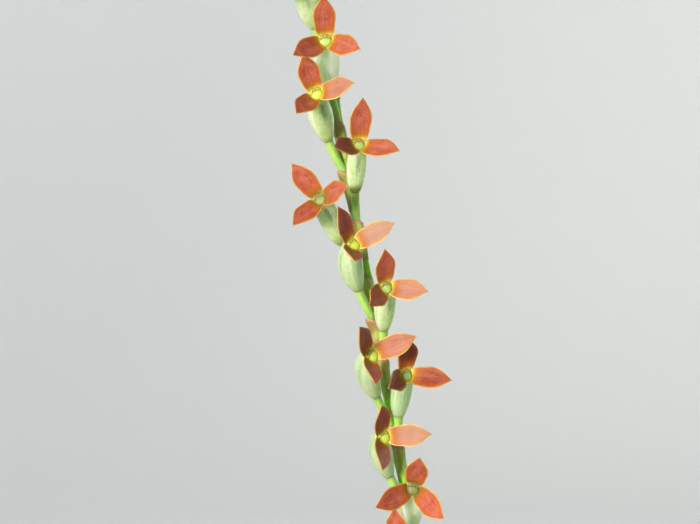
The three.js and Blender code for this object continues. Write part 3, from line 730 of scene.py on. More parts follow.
# Waxy sepal skin has a soft sheen, and light goes through its thin walls.
def makeTubeFinish():
    finish, tree, shader, along, keel, face, brown, pale = newFinish(
        "waxy sepal tube", ("along", "keel", "face", "brown", "pale"), Roughness=0.42, IOR=1.4,
        Subsurface_Weight=1, Subsurface_Scale=0.006, Subsurface_Radius=(0.8, 1, 0.5))
    clouds = grainPattern(tree, 1, detail=4)
    fine = grainPattern(tree, 0.2, detail=2)
    smear = addNode(tree, "ShaderNodeMath", {0: clouds, 1: 1.8, 2: face}, operation="MULTIPLY_ADD")
    tone = coats(
        tree, "#9BAF7B",
        ("#AFC099", (clouds, 0.33, 0.62)),
        ("#94AA55", (along, 0.3, 0, 0, 0.7)),
        ("#B8C6A6", (keel, 0.3, 1, 0, 0.7)),
        ("#6B7B5A", (smear, 1.1, 1.85, 0, 0.85), (along, 0.3, 0.6), (along, 0.97, 0.8),
         (fine, 0.35, 0.6, 1, 0.45)),
        ("#696227", (along, 0.2, 0.05), (brown,)),
        ("#C0CAB3", (fine, 0.52, 0.75, 0, 0.4)),
        # Painted light and shade: a tube with pale above 0 turns whiter where it lies in shade, one
        # below 0 turns greyer where it is brightly lit.
        ("#D2E4CE", (pale, 0, 1, 0, 0.8)),
        ("#90A688", (pale, 0, -1, 0, 0.85)),
        ("#C2C84A", (along, 0.92, 1, 0, 0.9)))
    paint(tree, shader, tone, (clouds, 0.12), (fine, 0.04))
    return finish


def tubeForm(item):
    size, roll = item["size"], math.radians(item["roll"])
    guide = item["above"] - item["normal"]
    angle = anglesRound(tube["sides"])
    keel = np.abs(np.angle(np.exp(3j * angle))) / 3          # from the nearest keel, 0 to 60 degrees
    seam = math.pi / 3 - keel
    nearKeel = np.exp(-((keel / tube["keelWidth"]) ** 2))
    nearSeam = np.exp(-((seam / tube["seamWidth"]) ** 2))
    middle = np.exp(-((seam / tube["faceWidth"]) ** 2))
    section = (tube["keel"] * nearKeel - tube["seamDepth"] * nearSeam
               + tube["flat"] * np.cos(3 * angle) + tube["ribs"] * np.cos(tube["ribCount"] * angle))
    start = bloom["tubeFrom"] + bloom["seam"]
    rings, along = [], []
    for share in np.linspace(0, 1, tube["steps"]):
        t = start + (1 - start) * share
        closing = ramp(share, tube["closing"], 1)
        direction = unit(directionOf(item["arch"], t) * (1 - closing) + item["normal"] * closing)
        belly = math.sin(math.pi * share)
        fullness = 1 + (item["full"] - 1) * belly ** tube["fullCurve"]
        radius = smooth(tubeOutline, share) * size * fullness
        radius = radius * (1 + belly ** tube["reliefCurve"] * section)
        spot = (share * tube["unevenRise"], item["seed"], 0)
        radius = radius * (1 + tube["uneven"] * grain(spot, tube["unevenSize"]))
        rings.append(item["arch"](t) + ringOf(angle - roll, radius, *crossways(direction, guide)))
        along.append(share)
    for radius, height in throat:
        ring = ringOf(angle - roll, radius, *crossways(item["normal"], item["above"]))
        rings.append(item["mouth"] + (item["normal"] * height + ring) * size)
        along.append(1)
    return loft(rings, {"along": np.array(along)[:, None], "keel": nearKeel, "face": middle,
                        "brown": brownFeet.get(item["name"], tube["brown"]),
                        "pale": tubeLightAndShade.get(item["name"], 0)})


def makeTubes(finish):
    for item in blooms:
        replaced = f"bloom_{item['name']}_tube"
        piece("sepal_tube_" + item["name"], [tubeForm(item)], finish, [replaced])


makeTubes(makeTubeFinish())
print("the sepal tubes are made")

# The middle of a flower: a low rounded pale green lip, two thick yellow petals over it and the
# tip of the column between them, all moist. The lip is under two millimetres wide.

centre = {
    "lip": {"turns": (180,), "out": 0.2, "up": -0.02, "radii": (0.86, 0.84, 0.36), "lean": -6,
            "dent": 0.05, "green": 1.0},
    "petals": {"turns": (-46, 46), "out": 0.68, "up": 0.0, "radii": (0.56, 0.34, 0.18), "lean": 40,
               "dent": 0.03, "green": 0.0},
    "column": {"turns": (0,), "out": 0.42, "up": 0.06, "radii": (0.4, 0.36, 0.2), "lean": -4,
               "dent": 0.0, "green": 0.3},
    "sides": 20, "steps": 12, "dentWidth": 0.35, "poleGap": 0.12, "roundness": 0.42,
}


# Moist petals glow softly, because light spreads in their flesh.
def makeCentreFinish():
    finish, tree, shader, along, green, lightAndAge = newFinish(
        "moist petal", ("along", "green", "lightAndAge"), Roughness=0.5, IOR=1.38,
        Subsurface_Weight=0.8, Subsurface_Scale=0.0012, Subsurface_Radius=(0.9, 1, 0.4))
    clouds = grainPattern(tree, 0.4)
    tone = coats(
        tree, "#AE9A2C",
        ("#9ABE66", (green,)),
        ("#AE8C2A", (along, 0.98, 0.66, 0, 0.95)),
        ("#BCCC90", (clouds, 0.5, 0.75, 0, 0.4)),
        # Olive where lightAndAge is above 0; bright lime below 0, painted light where the middle lies
        # in shade.
        ("#62602E", (lightAndAge, 0, 1, 0, 0.85)),
        ("#C8DA40", (lightAndAge, 0, -1, 0, 0.7)))
    paint(tree, shader, tone, (clouds, 0.03))
    return finish


# A rounded fleshy scale: its radii are across, through and along, with a dent down its face.
def scaleForm(item, degrees, part):
    size = item["size"]
    out, across = inMouth(item, degrees)
    lean = math.radians(part["lean"])
    rise = item["normal"] * math.cos(lean) + out * math.sin(lean)
    through = out * math.cos(lean) - item["normal"] * math.sin(lean)
    middle = item["mouth"] + (out * part["out"] + item["normal"] * part["up"]) * size
    section = anglesRound(centre["sides"])
    dent = 1 - part["dent"] * np.exp(-((np.cos(section) / centre["dentWidth"]) ** 2))
    heights = -np.cos(np.linspace(centre["poleGap"], math.pi - centre["poleGap"], centre["steps"]))
    rings = []
    for height in heights:
        ring = (1 - height**2) ** centre["roundness"]
        rings.append(middle + size * (
            rise * part["radii"][2] * height
            + np.outer(np.cos(section) * ring * part["radii"][0], across)
            + np.outer(np.sin(section) * ring * dent * part["radii"][1], through)))
    return loft(rings, {"along": (heights[:, None] + 1) / 2, "green": part["green"],
                        "lightAndAge": item["lightAndAge"]})


def makeCentres(finish):
    for item in blooms:
        forms = [scaleForm(item, angle, centre[kind])
                 for kind in ("lip", "petals", "column") for angle in centre[kind]["turns"]]
        piece("flower_centre_" + item["name"], forms, finish)


makeCentres(makeCentreFinish())
print("petals, lips and columns are made")

# Geometry Nodes: trees with named inputs that end as real geometry in their finish


def newTree(name, inputs):
    tree = bpy.data.node_groups.new(name, "GeometryNodeTree")
    for label, kind in {"Geometry": "Geometry", **inputs, "Finish": "Material"}.items():
        tree.interface.new_socket(label, in_out="INPUT", socket_type="NodeSocket" + kind)
    tree.interface.new_socket("Geometry", in_out="OUTPUT", socket_type="NodeSocketGeometry")
    return tree, addNode(tree, "NodeGroupInput").outputs


def endTree(tree, geometry, finish):
    real = addNode(tree, "GeometryNodeRealizeInstances", {"Geometry": geometry})
    dressed = addNode(tree, "GeometryNodeSetMaterial", {"Geometry": real, "Material": finish})
    addNode(tree, "NodeGroupOutput", {0: dressed})
    return tree


# A round shoot along every curve of an object, ribbed and slightly uneven.
def makeShootTree():
    tree, given = newTree("shoot along a path", {
        "Sides": "Int", "Ribs": "Int", "Rib Depth": "Float", "Unevenness": "Float",
        "Grain Size": "Float"})
    factor = addNode(tree, "GeometryNodeSplineParameter").outputs["Factor"]
    marked = addNode(tree, "GeometryNodeStoreNamedAttribute",
                     {"Geometry": given["Geometry"], "Name": "along", "Value": factor}, domain="POINT")
    circle = addNode(tree, "GeometryNodeCurvePrimitiveCircle",
                     {"Resolution": given["Sides"], "Radius": 1})
    where = addNode(tree, "GeometryNodeInputPosition")
    parts = addNode(tree, "ShaderNodeSeparateXYZ", {0: where}).outputs
    angle = addNode(tree, "ShaderNodeMath", {0: parts["Y"], 1: parts["X"]}, operation="ARCTAN2")
    phase = addNode(tree, "ShaderNodeMath", {0: angle, 1: given["Ribs"]}, operation="MULTIPLY")
    wave = addNode(tree, "ShaderNodeMath", {0: phase}, operation="COSINE")
    share = addNode(tree, "ShaderNodeMath", {0: wave, 1: given["Rib Depth"]}, operation="MULTIPLY")
    outward = addNode(tree, "ShaderNodeVectorMath", {0: where, "Scale": share}, operation="SCALE")
    ribbed = addNode(tree, "GeometryNodeSetPosition", {"Geometry": circle, "Offset": outward})
    radius = addNode(tree, "GeometryNodeInputRadius")
    skin = addNode(tree, "GeometryNodeCurveToMesh",
                   {"Curve": marked, "Profile Curve": ribbed, "Scale": radius, "Fill Caps": True})
    scale = addNode(tree, "ShaderNodeMath", {0: 1, 1: given["Grain Size"]}, operation="DIVIDE")
    bumps = addNode(tree, "ShaderNodeTexNoise", {"Scale": scale, "Detail": 2}).outputs["Fac"]
    level = addNode(tree, "ShaderNodeMath", {0: bumps, 1: 0.5}, operation="SUBTRACT")
    push = addNode(tree, "ShaderNodeMath", {0: level, 1: given["Unevenness"]}, operation="MULTIPLY")
    normal = addNode(tree, "GeometryNodeInputNormal")
    offset = addNode(tree, "ShaderNodeVectorMath", {0: normal, "Scale": push}, operation="SCALE")
    uneven = addNode(tree, "GeometryNodeSetPosition", {"Geometry": skin, "Offset": offset})
    soft = addNode(tree, "GeometryNodeSetShadeSmooth", {"Geometry": uneven})
    return endTree(tree, soft, given["Finish"])


# Runs a tree on an object, with its named inputs, and leaves a plain mesh in its place.
def grow(base, tree, name, inputs):
    modifier = base.modifiers.new("grow", "NODES")
    modifier.node_group = tree
    sockets = {s.name: s.identifier for s in tree.interface.items_tree if s.in_out == "INPUT"}
    for key, value in inputs.items():
        modifier[sockets[key]] = value
    bpy.context.view_layer.update()
    graph = bpy.context.evaluated_depsgraph_get()
    mesh = bpy.data.meshes.new_from_object(base.evaluated_get(graph), depsgraph=graph)
    mesh.name = name
    base.modifiers.remove(modifier)
    bpy.data.objects.remove(base)
    return putInScene(name, mesh)


# A curve object with one line for each path: its points, and a radius at each point.
def pathsObject(name, paths):
    data = bpy.data.curves.new(name, "CURVE")
    data.dimensions = "3D"
    for points, radii in paths:
        line = data.splines.new("POLY")
        line.points.add(len(points) - 1)
        for spot, p, radius in zip(line.points, points, radii):
            spot.co = (*(p * mm), 1)
            spot.radius = radius * mm
    return putInScene(name, data)


shootTree = makeShootTree()


# A shoot along every path, with its finish and its place in the frame.
def makeShoots(name, paths, shoot, finish, replaces=()):
    shoots = grow(pathsObject(name + "_paths", paths), shootTree, name, {**shoot, "Finish": finish})
    return settle(shoots, replaces)


# The axis of the raceme and its pedicels: juicy green shoots, the pedicels paler and yellower.

axis = {"footRadius": 0.95, "tipRadius": 0.42, "steps": 260, "jointSwell": 0.16, "swellWidth": 1.1,
        "swellBelow": 0.4}
greenShoot = {"Sides": 18, "Ribs": 5, "Rib Depth": 0.05, "Unevenness": 0.00012, "Grain Size": 0.0022}
pedicelRadius = [(0, 0.54), (0.3, 0.57), (0.6, 0.58), (0.85, 0.6), (1, 0.66)]


# Fresh green stems are juicy, so light goes a little way in, and fine long streaks mark them.
def makeShootFinish(name, dark, bright, pale, shade):
    finish, tree, shader = newFinish(
        name, Roughness=0.5, IOR=1.34, Subsurface_Weight=0.7, Subsurface_Scale=0.002,
        Subsurface_Radius=(0.6, 1, 0.2))
    clouds = grainPattern(tree, 3.2, detail=2)
    lines = grainPattern(tree, 0.3, stretch=(1, 1, 0.16))
    tone = coats(
        tree, dark,
        (bright, (clouds, 0.35, 0.62)),
        (pale, (lines, 0.48, 0.72, 0, 0.6)),
        (shade, (lines, 0.42, 0.25, 0, 0.4)))
    paint(tree, shader, tone, (lines, 0.06))
    return finish


def pedicelPath(item):
    end = bloom["tubeFrom"] + bloom["seam"] + bloom["overlap"]
    shares = np.linspace(0, 1, bloom["pedicelSteps"])
    return ([item["arch"](end * s) for s in shares],
            [smooth(pedicelRadius, s) * item["size"] for s in shares])


def makeAxis():
    shares = np.linspace(0, 1, axis["steps"])
    radii = [axis["footRadius"] + (axis["tipRadius"] - axis["footRadius"]) * s for s in shares]
    # The stalk is a little thicker at each joint.
    joints = [item["joint"][2] for item in blooms]
    spots = [stalkLine(s) for s in shares]
    for i, spot in enumerate(spots):
        nearest = min(abs(spot[2] - z + axis["swellBelow"]) for z in joints)
        radii[i] += axis["jointSwell"] * math.exp(-((nearest / axis["swellWidth"]) ** 2))
    green = makeShootFinish("juicy green shoot", "#82C01C", "#94CC2C", "#A2CE46", "#6A9C18")
    makeShoots("raceme_axis", [(spots, radii)], greenShoot, green, ["raceme_stalk"])
    pale = makeShootFinish("pale green pedicel", "#84AC48", "#96BA5E", "#A6C47C", "#70983A")
    paths = [pedicelPath(item) for item in blooms] + [budStalk(item) for item in buds]
    makeShoots("pedicels", paths, greenShoot, pale)


bud = {"count": 9, "first": 4.6, "spacing": 2.6, "size": 0.8, "smaller": 0.055, "foot": 0.8,
       "length": 6, "aside": 0.75, "out": 0.9, "spread": 0.55, "sides": 24, "steps": 20,
       "facets": 0.05, "furrow": 0.1, "furrowWidth": 0.12, "stalk": 1.2, "stalkRadius": 0.4,
       "stalkFlare": 0.1, "stalkSteps": 5, "furrowFrom": 0.4, "furrowAt": 0.7, "seamWidth": 0.2}
budOutline = [(0, 0.3), (0.12, 0.5), (0.3, 0.98), (0.48, 1.16), (0.66, 1.02), (0.84, 0.58),
              (0.95, 0.26), (1, 0.06)]


def arrangeBuds():
    rows = []
    first = blooms[0]["mouth"][2] - bloom["reach"] * blooms[0]["size"] + bud["first"]
    for index in range(bud["count"]):
        joint, way = stalkAt(first + bud["spacing"] * index)
        side = 1 if index % 2 else -1
        outward = unit(point(bud["aside"] * side, -bud["out"], 0))
        rows.append({"joint": joint, "axis": unit(way + outward * bud["spread"]), "outward": outward,
                     "size": bud["size"] - bud["smaller"] * index, "index": index})
    return rows


def budStalk(item):
    shares = np.linspace(0, 1, bud["stalkSteps"])
    return ([item["joint"] + item["axis"] * bud["stalk"] * s * item["size"] for s in shares],
            [(bud["stalkRadius"] + bud["stalkFlare"] * s) * item["size"] for s in shares])


def budForm(item):
    angle = anglesRound(bud["sides"])
    across, beside = crossways(item["axis"], item["outward"])
    keel = np.abs(np.angle(np.exp(3j * angle))) / 3
    rings = []
    stations = np.linspace(0, 1, bud["steps"])
    for share in stations:
        along = (bud["foot"] + (bud["length"] - bud["foot"]) * share) * item["size"]
        opening = ramp(share, bud["furrowFrom"], bud["furrowAt"])
        furrow = bud["furrow"] * opening * np.exp(-((keel / bud["furrowWidth"]) ** 2))
        section = 1 + bud["facets"] * np.cos(3 * angle) - furrow
        radius = smooth(budOutline, share) * item["size"] * section
        rings.append(item["joint"] + item["axis"] * along + ringOf(angle, radius, across, beside))
    seam = np.exp(-((keel / bud["seamWidth"]) ** 2))
    return loft(rings, {"along": stations[:, None], "seam": seam})


# Closed buds, smooth and softly waxy: pale green, flushed orange brown towards the tip, with
# golden seams between the sepals.
def makeBudFinish():
    finish, tree, shader, along, seam = newFinish(
        "closed bud", ("along", "seam"), Roughness=0.4, IOR=1.4, Subsurface_Weight=0.25,
        Subsurface_Scale=0.001)
    clouds = grainPattern(tree, 0.9)
    tone = coats(
        tree, "#93AA56",
        ("#A7B882", (clouds, 0.3, 0.7)),
        ("#AC6F3C", (along, 0.5, 0.85)),
        ("#BA954D", (seam, 0.4, 1, 0, 0.6)))
    paint(tree, shader, tone, (clouds, 0.05))
    return finish


buds = arrangeBuds()
makeAxis()
piece("flower_buds", [budForm(item) for item in buds], makeBudFinish())
print("the raceme's axis and buds are made")

# Dry sheaths: papery skins, pale brown with darker veins, each open on a slanted mouth.


# Dry sheath skin is papery and dull: darker veins and blotches, and a pale torn margin.
def makeSheathFinish(name, pale, brown, vein, veined, foot, margin):
    finish, tree, shader, along, rib, browned = newFinish(
        name, ("along", "rib", "brown"), Roughness=0.6, IOR=1.45, Subsurface_Weight=0.2,
        Subsurface_Scale=0.0005)
    clouds = grainPattern(tree, 2.4, detail=4)
    lines = grainPattern(tree, 0.22, stretch=(1, 1, 0.1))
    tone = coats(
        tree, pale,
        (brown, (clouds, 0.35, 0.7)),
        (foot, (along, 0.6, 0.05, 0, 0.8)),
        (vein, (rib, 0.45, 0.95, 0, veined)),
        (vein, (lines, 0.42, 0.2, 0, veined)),
        # Brown patches on bracts with a brown share.
        ("#7C5630", (browned,), (clouds, 0.3, 0.55, 0.5, 0.9)),
        (margin, (along, 0.86, 1, 0, 0.85)))
    paint(tree, shader, tone, (lines, 0.12), (clouds, 0.1))
    return finish


# What all sheaths share: how their lips curve and tear, how they flare, crumple and thin out.
skin = {"lipCurve": 1.4, "tearSize": 0.35, "flare": 1.3, "ribDepth": 0.25, "crumple": 0.12,
        "crumpleSize": 0.9, "crumpleRise": 2.2, "footWall": 1.05, "thinning": 0.5}


def straight(start, way):
    return lambda along: (start + way * along, way)


# One sheath round an axis: "sheath" gives its short and long side, its radii at the foot and
# at the mouth, its wall and its ribs. The long side looks towards "front".
def sheathForm(axisAt, front, sheath, seed, brown=0):
    sides, steps = sheath["sides"], sheath["steps"]
    start = sheath.get("from", 0)
    angle = anglesRound(sides)
    tongue = ((1 + np.cos(angle)) / 2) ** skin["lipCurve"]
    lip = sheath["short"] + (sheath["long"] - sheath["short"]) * tongue
    lip = lip + np.array([sheath["torn"] * grain((math.cos(a), math.sin(a), seed), skin["tearSize"])
                          for a in angle])
    ribs = 0.5 + 0.5 * np.cos(sheath["ribs"] * angle)
    rows, along = [], []
    for inner in (False, True):
        order = range(steps + 1)
        for k in (reversed(order) if inner else order):
            share = k / steps
            radius = sheath["foot"] + (sheath["mouth"] - sheath["foot"]) * share ** skin["flare"]
            radius = radius + skin["ribDepth"] * sheath["wall"] * ribs
            rise = skin["crumpleRise"] * share + seed
            radius = radius + skin["crumple"] * sheath["mouth"] * np.array(
                [grain((math.cos(a), math.sin(a), rise), skin["crumpleSize"]) for a in angle]) * share
            if inner:
                radius = radius - sheath["wall"] * (skin["footWall"] - skin["thinning"] * share)
            ring = []
            for a, r, h in zip(angle, radius, start + (lip - start) * share):
                middle, direction = axisAt(h)
                across, beside = crossways(direction, front)
                ring.append(middle + across * r * math.cos(a) + beside * r * math.sin(a))
            rows.append(ring)
            along.append(share)
    return loft(rows, {"along": np.array(along)[:, None], "rib": ribs, "brown": brown})


# A bract is a sheath round the axis below a joint, with its mouth where the pedicel leaves.
# "below" is how far under the joint it starts, from which the other heights count.
bract = {"short": 4.4, "long": 5.7, "foot": 0.7, "mouth": 0.98, "wall": 0.08, "ribs": 5,
         "sides": 26, "steps": 12, "below": 4.6, "torn": 0.22, "leaving": 0.12, "facing": 0.3,
         "leanFrom": 0.7, "leanTo": 1.3, "lean": 0.5}
budBract = {**bract, "short": 0.7, "long": 2.4, "foot": 0.66, "mouth": 0.84, "steps": 7,
            "below": 0.3, "torn": 0.1}
clasp = {"short": 3.6, "long": 6.8, "foot": 1.12, "mouth": 1.5, "wall": 0.14, "ribs": 9,
         "sides": 26, "steps": 9, "from": -0.4, "torn": 0.3}
claspHeights = [5, 24]
claspFront = point(0.6, -0.8, 0)
budSeed = 50


def shrunk(sheath, size):
    lengths = ("short", "long", "foot", "mouth", "below")
    return {**sheath, **{key: sheath[key] * size for key in lengths}}


def makeBracts(finish):
    forms = []
    for item in blooms:
        sheath = shrunk(bract, item["size"])
        base, top = item["joint"][2] - sheath["below"], item["arch"](sheath["leaving"])
        outer = (item["arch"](sheath["facing"]) - item["joint"]) * point(1, 1, 0)

        # Along the axis of the raceme, and near the mouth also a little towards the pedicel.
        def axisAt(along, base=base, top=top, sheath=sheath):
            middle, way = stalkAt(base + along)
            share = ramp(along / sheath["below"], sheath["leanFrom"], sheath["leanTo"])
            return middle + (top - middle) * point(1, 1, 0) * share * sheath["lean"], way

        brown = brownBracts.get(item["name"], 0)
        forms.append(sheathForm(axisAt, unit(outer), sheath, item["seed"], brown))
    for item in buds:
        sheath = shrunk(budBract, item["size"])
        line = straight(item["joint"] - item["axis"] * sheath["below"], item["axis"])
        forms.append(sheathForm(line, item["outward"], sheath, budSeed + item["index"]))
    for height in claspHeights:
        line = straight(*stalkAt(stalkFoot[2] + height))
        forms.append(sheathForm(line, claspFront, clasp, height))
    piece("raceme_bracts", forms, finish)


makeBracts(makeSheathFinish(
    "thin papery bract", "#AAC454", "#A09850", "#84783C", 0.4, "#98B846", "#B0866A"))
print("the bracts are made")

# Leaves: thick and leathery, glossy above like a rubber plant's, with a sunk midrib, faint
# long veins and a notch at the tip. A stem and its leaf are one piece.

leaf = {"thickness": 1.25, "notch": 1.5, "tipRound": 1.6, "rib": 0.22, "sides": 40, "steps": 56,
        "stemSteps": 12, "stemTop": 0.94, "knobbly": 0.06, "waver": 0.5, "waverSize": 0.7,
        "edge": 0.15, "edgeThinning": 0.45, "midribWidth": 0.07, "notchWidth": 0.34, "tipFrom": 0.9,
        "crowding": 0.75, "knobs": 9, "bladeFrom": 0.02, "bladeAt": 0.3, "neck": 0.95, "foldAt": 0.1,
        "foldSoftness": 0.03, "foldDrop": 0.17, "waverAlong": 2.2, "waverAcross": 0.8,
        "seedStep": 3.7}
leafWidth = [(0, 0.085), (0.05, 0.09), (0.1, 0.13), (0.22, 0.46), (0.4, 0.86), (0.6, 1.0),
             (0.8, 0.83), (0.92, 0.56), (1, 0.3)]
leafFold = [(0, 0.3), (0.1, 0.8), (0.22, 0.5), (0.4, 0.26), (0.6, 0.16), (0.8, 0.14), (1, 0.1)]


# Leathery leaf: a smooth skin with a soft shine over a deep green, paler below, and fine
# long veins that catch the light.
def makeLeafFinish():
    finish, tree, shader, along, across, inside = newFinish(
        "leathery leaf", ("along", "across", "inside"), Roughness=0.36, IOR=1.45,
        Coat_Weight=0.25, Coat_Roughness=0.22, Subsurface_Weight=0.08, Subsurface_Scale=0.001,
        Subsurface_Radius=(0.4, 1, 0.15))
    clouds = grainPattern(tree, 14, detail=4)
    fine = grainPattern(tree, 0.9)
    edge = addNode(tree, "ShaderNodeMath", {0: across}, operation="ABSOLUTE")
    # About nine veins a side, a real leaf's spacing of 0.9 mm, drawn from edge to edge.
    phase = addNode(tree, "ShaderNodeMath", {0: across, 1: 58}, operation="MULTIPLY")
    veins = addNode(tree, "ShaderNodeMath", {0: phase}, operation="SINE")
    upper = coats(
        tree, "#2F5E1F",
        ("#4C8430", (clouds, 0.3, 0.7)),
        ("#5F9A3B", (veins, 0.2, 1, 0, 0.16)),
        ("#7FAE4E", (fine, 0.55, 0.8, 0, 0.25)),
        ("#82A24A", (edge, 0.12, 0, 0, 0.6)),
        ("#6E7F35", (edge, 0.93, 1, 0, 0.7)))
    under = coats(tree, "#6F9A4C", ("#8FB368", (clouds, 0.3, 0.7)))
    tone = coats(tree, under, (upper, (inside,)), ("#7E9A3C", (along, 0.05, -0.02)))
    paint(tree, shader, tone, (clouds, 0.5), (veins, 0.016), (fine, 0.05))
    return finish


def leafForm(item, seed):
    foot, _, line = leafLine(item)
    direction = stemDirection(item)
    inward = -outwardOf(item)
    angle = anglesRound(leaf["sides"])
    wide = np.cos(angle)
    wide = np.sign(wide) * np.abs(wide) ** leaf["crowding"]
    rise = np.sin(angle)
    rings, shares = [], []
    across, beside = crossways(direction, inward)
    for share in np.linspace(0, leaf["stemTop"], leaf["stemSteps"]):
        radius = plant["stemRadius"] * (1 + leaf["knobbly"] * math.cos(share * leaf["knobs"] + seed))
        rings.append(foot + direction * item["stem"] * share + ringOf(angle, radius, beside, across))
        shares.append(-1 + share)
    for share in np.linspace(0, 1, leaf["steps"]):
        middle, way = line(share), directionOf(line, share)
        across, beside = crossways(way, inward)
        width = smooth(leafWidth, share) * item["width"] / 2
        blade = ramp(share, leaf["bladeFrom"], leaf["bladeAt"])
        v = np.cos(angle) * (1 - blade) + wide * blade
        flat = leaf["thickness"] / 2 * (1 - leaf["edgeThinning"] * np.abs(v) ** 2)
        height = rise * ((1 - blade) * plant["stemRadius"] * leaf["neck"] + blade * flat)
        fold = smooth(leafFold, share) * ramp(share, 0, leaf["foldAt"])
        height = height + fold * width * (np.sqrt(v * v + leaf["foldSoftness"]) - leaf["foldDrop"])
        height = height - leaf["rib"] * blade * np.exp(-((v / leaf["midribWidth"]) ** 2))
        for i, x in enumerate(v):
            spot = (leaf["waverAlong"] * share, x * leaf["waverAcross"], seed)
            height[i] += leaf["waver"] * grain(spot, leaf["waverSize"]) * abs(x) * blade
        notch = leaf["notch"] * np.exp(-((v / leaf["notchWidth"]) ** 2))
        back = ramp(share, leaf["tipFrom"], 1) * (notch + leaf["tipRound"] * np.abs(v) ** 3)
        rings.append(middle + np.outer(v * width, beside) + np.outer(height, across)
                     - np.outer(back, way))
        shares.append(share)
    values = {"along": np.array(shares)[:, None], "across": np.cos(angle),
              "inside": ramp(rise, -leaf["edge"], leaf["edge"])}
    return loft(rings, values, ("fan", "flat"))


def makeLeaves(finish):
    for number, item in enumerate(stems):
        form = leafForm(item, number * leaf["seedStep"])
        piece(f"stem_and_leaf_{number + 1}", [form], finish, [f"leafy_stem_{number + 1}"])


makeLeaves(makeLeafFinish())
print("the leaves are made")

# Sheaths on the stems, the rhizome and the roots

stemSheaths = {
    "lower": {"short": 0.26, "long": 0.4, "foot": 2.25, "mouth": 2.5, "from": -1.3},
    "upper": {"short": 0.5, "long": 0.62, "foot": 1.75, "mouth": 2.15, "from": 0.18},
}
sheathWall = {"wall": 0.22, "ribs": 11, "sides": 44, "steps": 14, "torn": 0.7}
sheathSeedStep = 2.3


# The lower sheath looks outwards and the upper one, partly inside it, inwards.
def makeStemSheaths():
    forms = []
    for number, item in enumerate(stems):
        foot = point(item["x"], item["y"], plant["stemFoot"])
        for name, part in stemSheaths.items():
            low = part["from"] if name == "lower" else part["from"] * item["stem"]
            sheath = {**sheathWall, **part, "from": low,
                      "short": part["short"] * item["stem"], "long": part["long"] * item["stem"]}
            front = outwardOf(item) if name == "lower" else -outwardOf(item)
            line = straight(foot, stemDirection(item))
            forms.append(sheathForm(line, front, sheath, number * sheathSeedStep + len(name)))
    return forms


root = {"count": 24, "reach": 15, "reaches": (0.5, 1.05), "arch": 3.4, "arches": (0.35, 0.8),
        "depth": 6, "margin": 3.5, "radius": 0.8, "thickness": (0.6, 1), "taper": 0.25, "steps": 30,
        "fan": 1.5, "bends": (0.3, 0.6, 0.85), "wander": 1.1, "above": 0.9, "seed": 5}
rootShoot = {"Sides": 12, "Ribs": 3, "Rib Depth": 0.04, "Unevenness": 0.0003, "Grain Size": 0.0011}


# Roots leave the rhizome all round, wander over the bark and go down into it.
def rootPaths():
    draw = np.random.default_rng(root["seed"])
    low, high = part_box("bark_mix")
    limit = (high.x - low.x) / 2 / mm - root["margin"]
    paths = []
    for i in range(root["count"]):
        source = stems[i % len(stems)]
        start = point(source["x"], source["y"], plant["rhizomeLine"])
        heading = math.atan2(start[1], start[0]) + draw.uniform(-root["fan"], root["fan"])
        reach = root["reach"] * draw.uniform(*root["reaches"])
        end = start + point(math.cos(heading), math.sin(heading), 0) * reach
        end[:2] *= min(1, limit / np.linalg.norm(end[:2]))
        end[2] = plant["barkTop"] - root["depth"]
        lift = root["arch"] * draw.uniform(*root["arches"])
        bends = [start]
        for share in root["bends"]:
            spot = start + (end - start) * share
            spot[:2] += draw.uniform(-root["wander"], root["wander"], 2)
            spot[2] = plant["barkTop"] + lift * math.sin(math.pi * share) + root["above"]
            bends.append(spot)
        line = curveThrough([*bends, end])
        thick = root["radius"] * draw.uniform(*root["thickness"])
        shares = np.linspace(0, 1, root["steps"])
        paths.append(([line(s) for s in shares], [thick * (1 - root["taper"] * s) for s in shares]))
    return paths


rhizome = {"radius": 1.75, "swell": 0.16, "ringDepth": 0.12, "rings": 60, "steps": 24}
rhizomeShoot = {"Sides": 16, "Ribs": 7, "Rib Depth": 0.03, "Unevenness": 0.0005, "Grain Size": 0.0016}


# The rhizome swells under each stem, and the scars of old scales ring it.
def rhizomePaths():
    paths = []
    for run in rhizomeRuns:
        spans = len(run) - 1
        line = curveThrough([(stems[i]["x"], stems[i]["y"], plant["rhizomeLine"]) for i in run])
        shares = np.linspace(0, 1, rhizome["steps"] * spans)
        radii = [rhizome["radius"] + rhizome["swell"] * math.cos(turn * s * spans)
                 + rhizome["ringDepth"] * abs(math.sin(rhizome["rings"] * s)) for s in shares]
        paths.append(([line(s) for s in shares], radii))
    return paths


# Spongy root skin, dull and finely grained: pale grey green, brown near the rhizome and
# greener towards the tip.
def makeRootFinish():
    finish, tree, shader, along = newFinish("spongy root skin", ("along",), Roughness=0.7, IOR=1.4)
    clouds = grainPattern(tree, 2.5, detail=4)
    fine = grainPattern(tree, 0.35)
    tone = coats(
        tree, "#9C9A78",
        ("#C6C2A8", (clouds, 0.35, 0.65)),
        ("#7E7A4C", (fine, 0.5, 0.28, 0, 0.7)),
        ("#7A5A38", (along, 0.3, 0, 0, 0.8)),
        ("#93904E", (along, 0.6, 1, 0, 0.6)))
    paint(tree, shader, tone, (fine, 0.12))
    return finish


def makeTuft():
    dry = makeSheathFinish(
        "dry brown sheath", "#BFA377", "#8F6C43", "#6B4A2B", 0.75, "#7A5632", "#CDB68C")
    piece("stem_sheaths", makeStemSheaths(), dry, ["rhizome_with_sheaths"])
    makeShoots("rhizome", rhizomePaths(), rhizomeShoot, dry)
    makeShoots("roots", rootPaths(), rootShoot, makeRootFinish())


makeTuft()
print("sheaths, rhizome and roots are made")

# The pot: thrown and fired red clay, unglazed and chalky, with fine grit, faint turning
# lines and a bloom of pale salts.

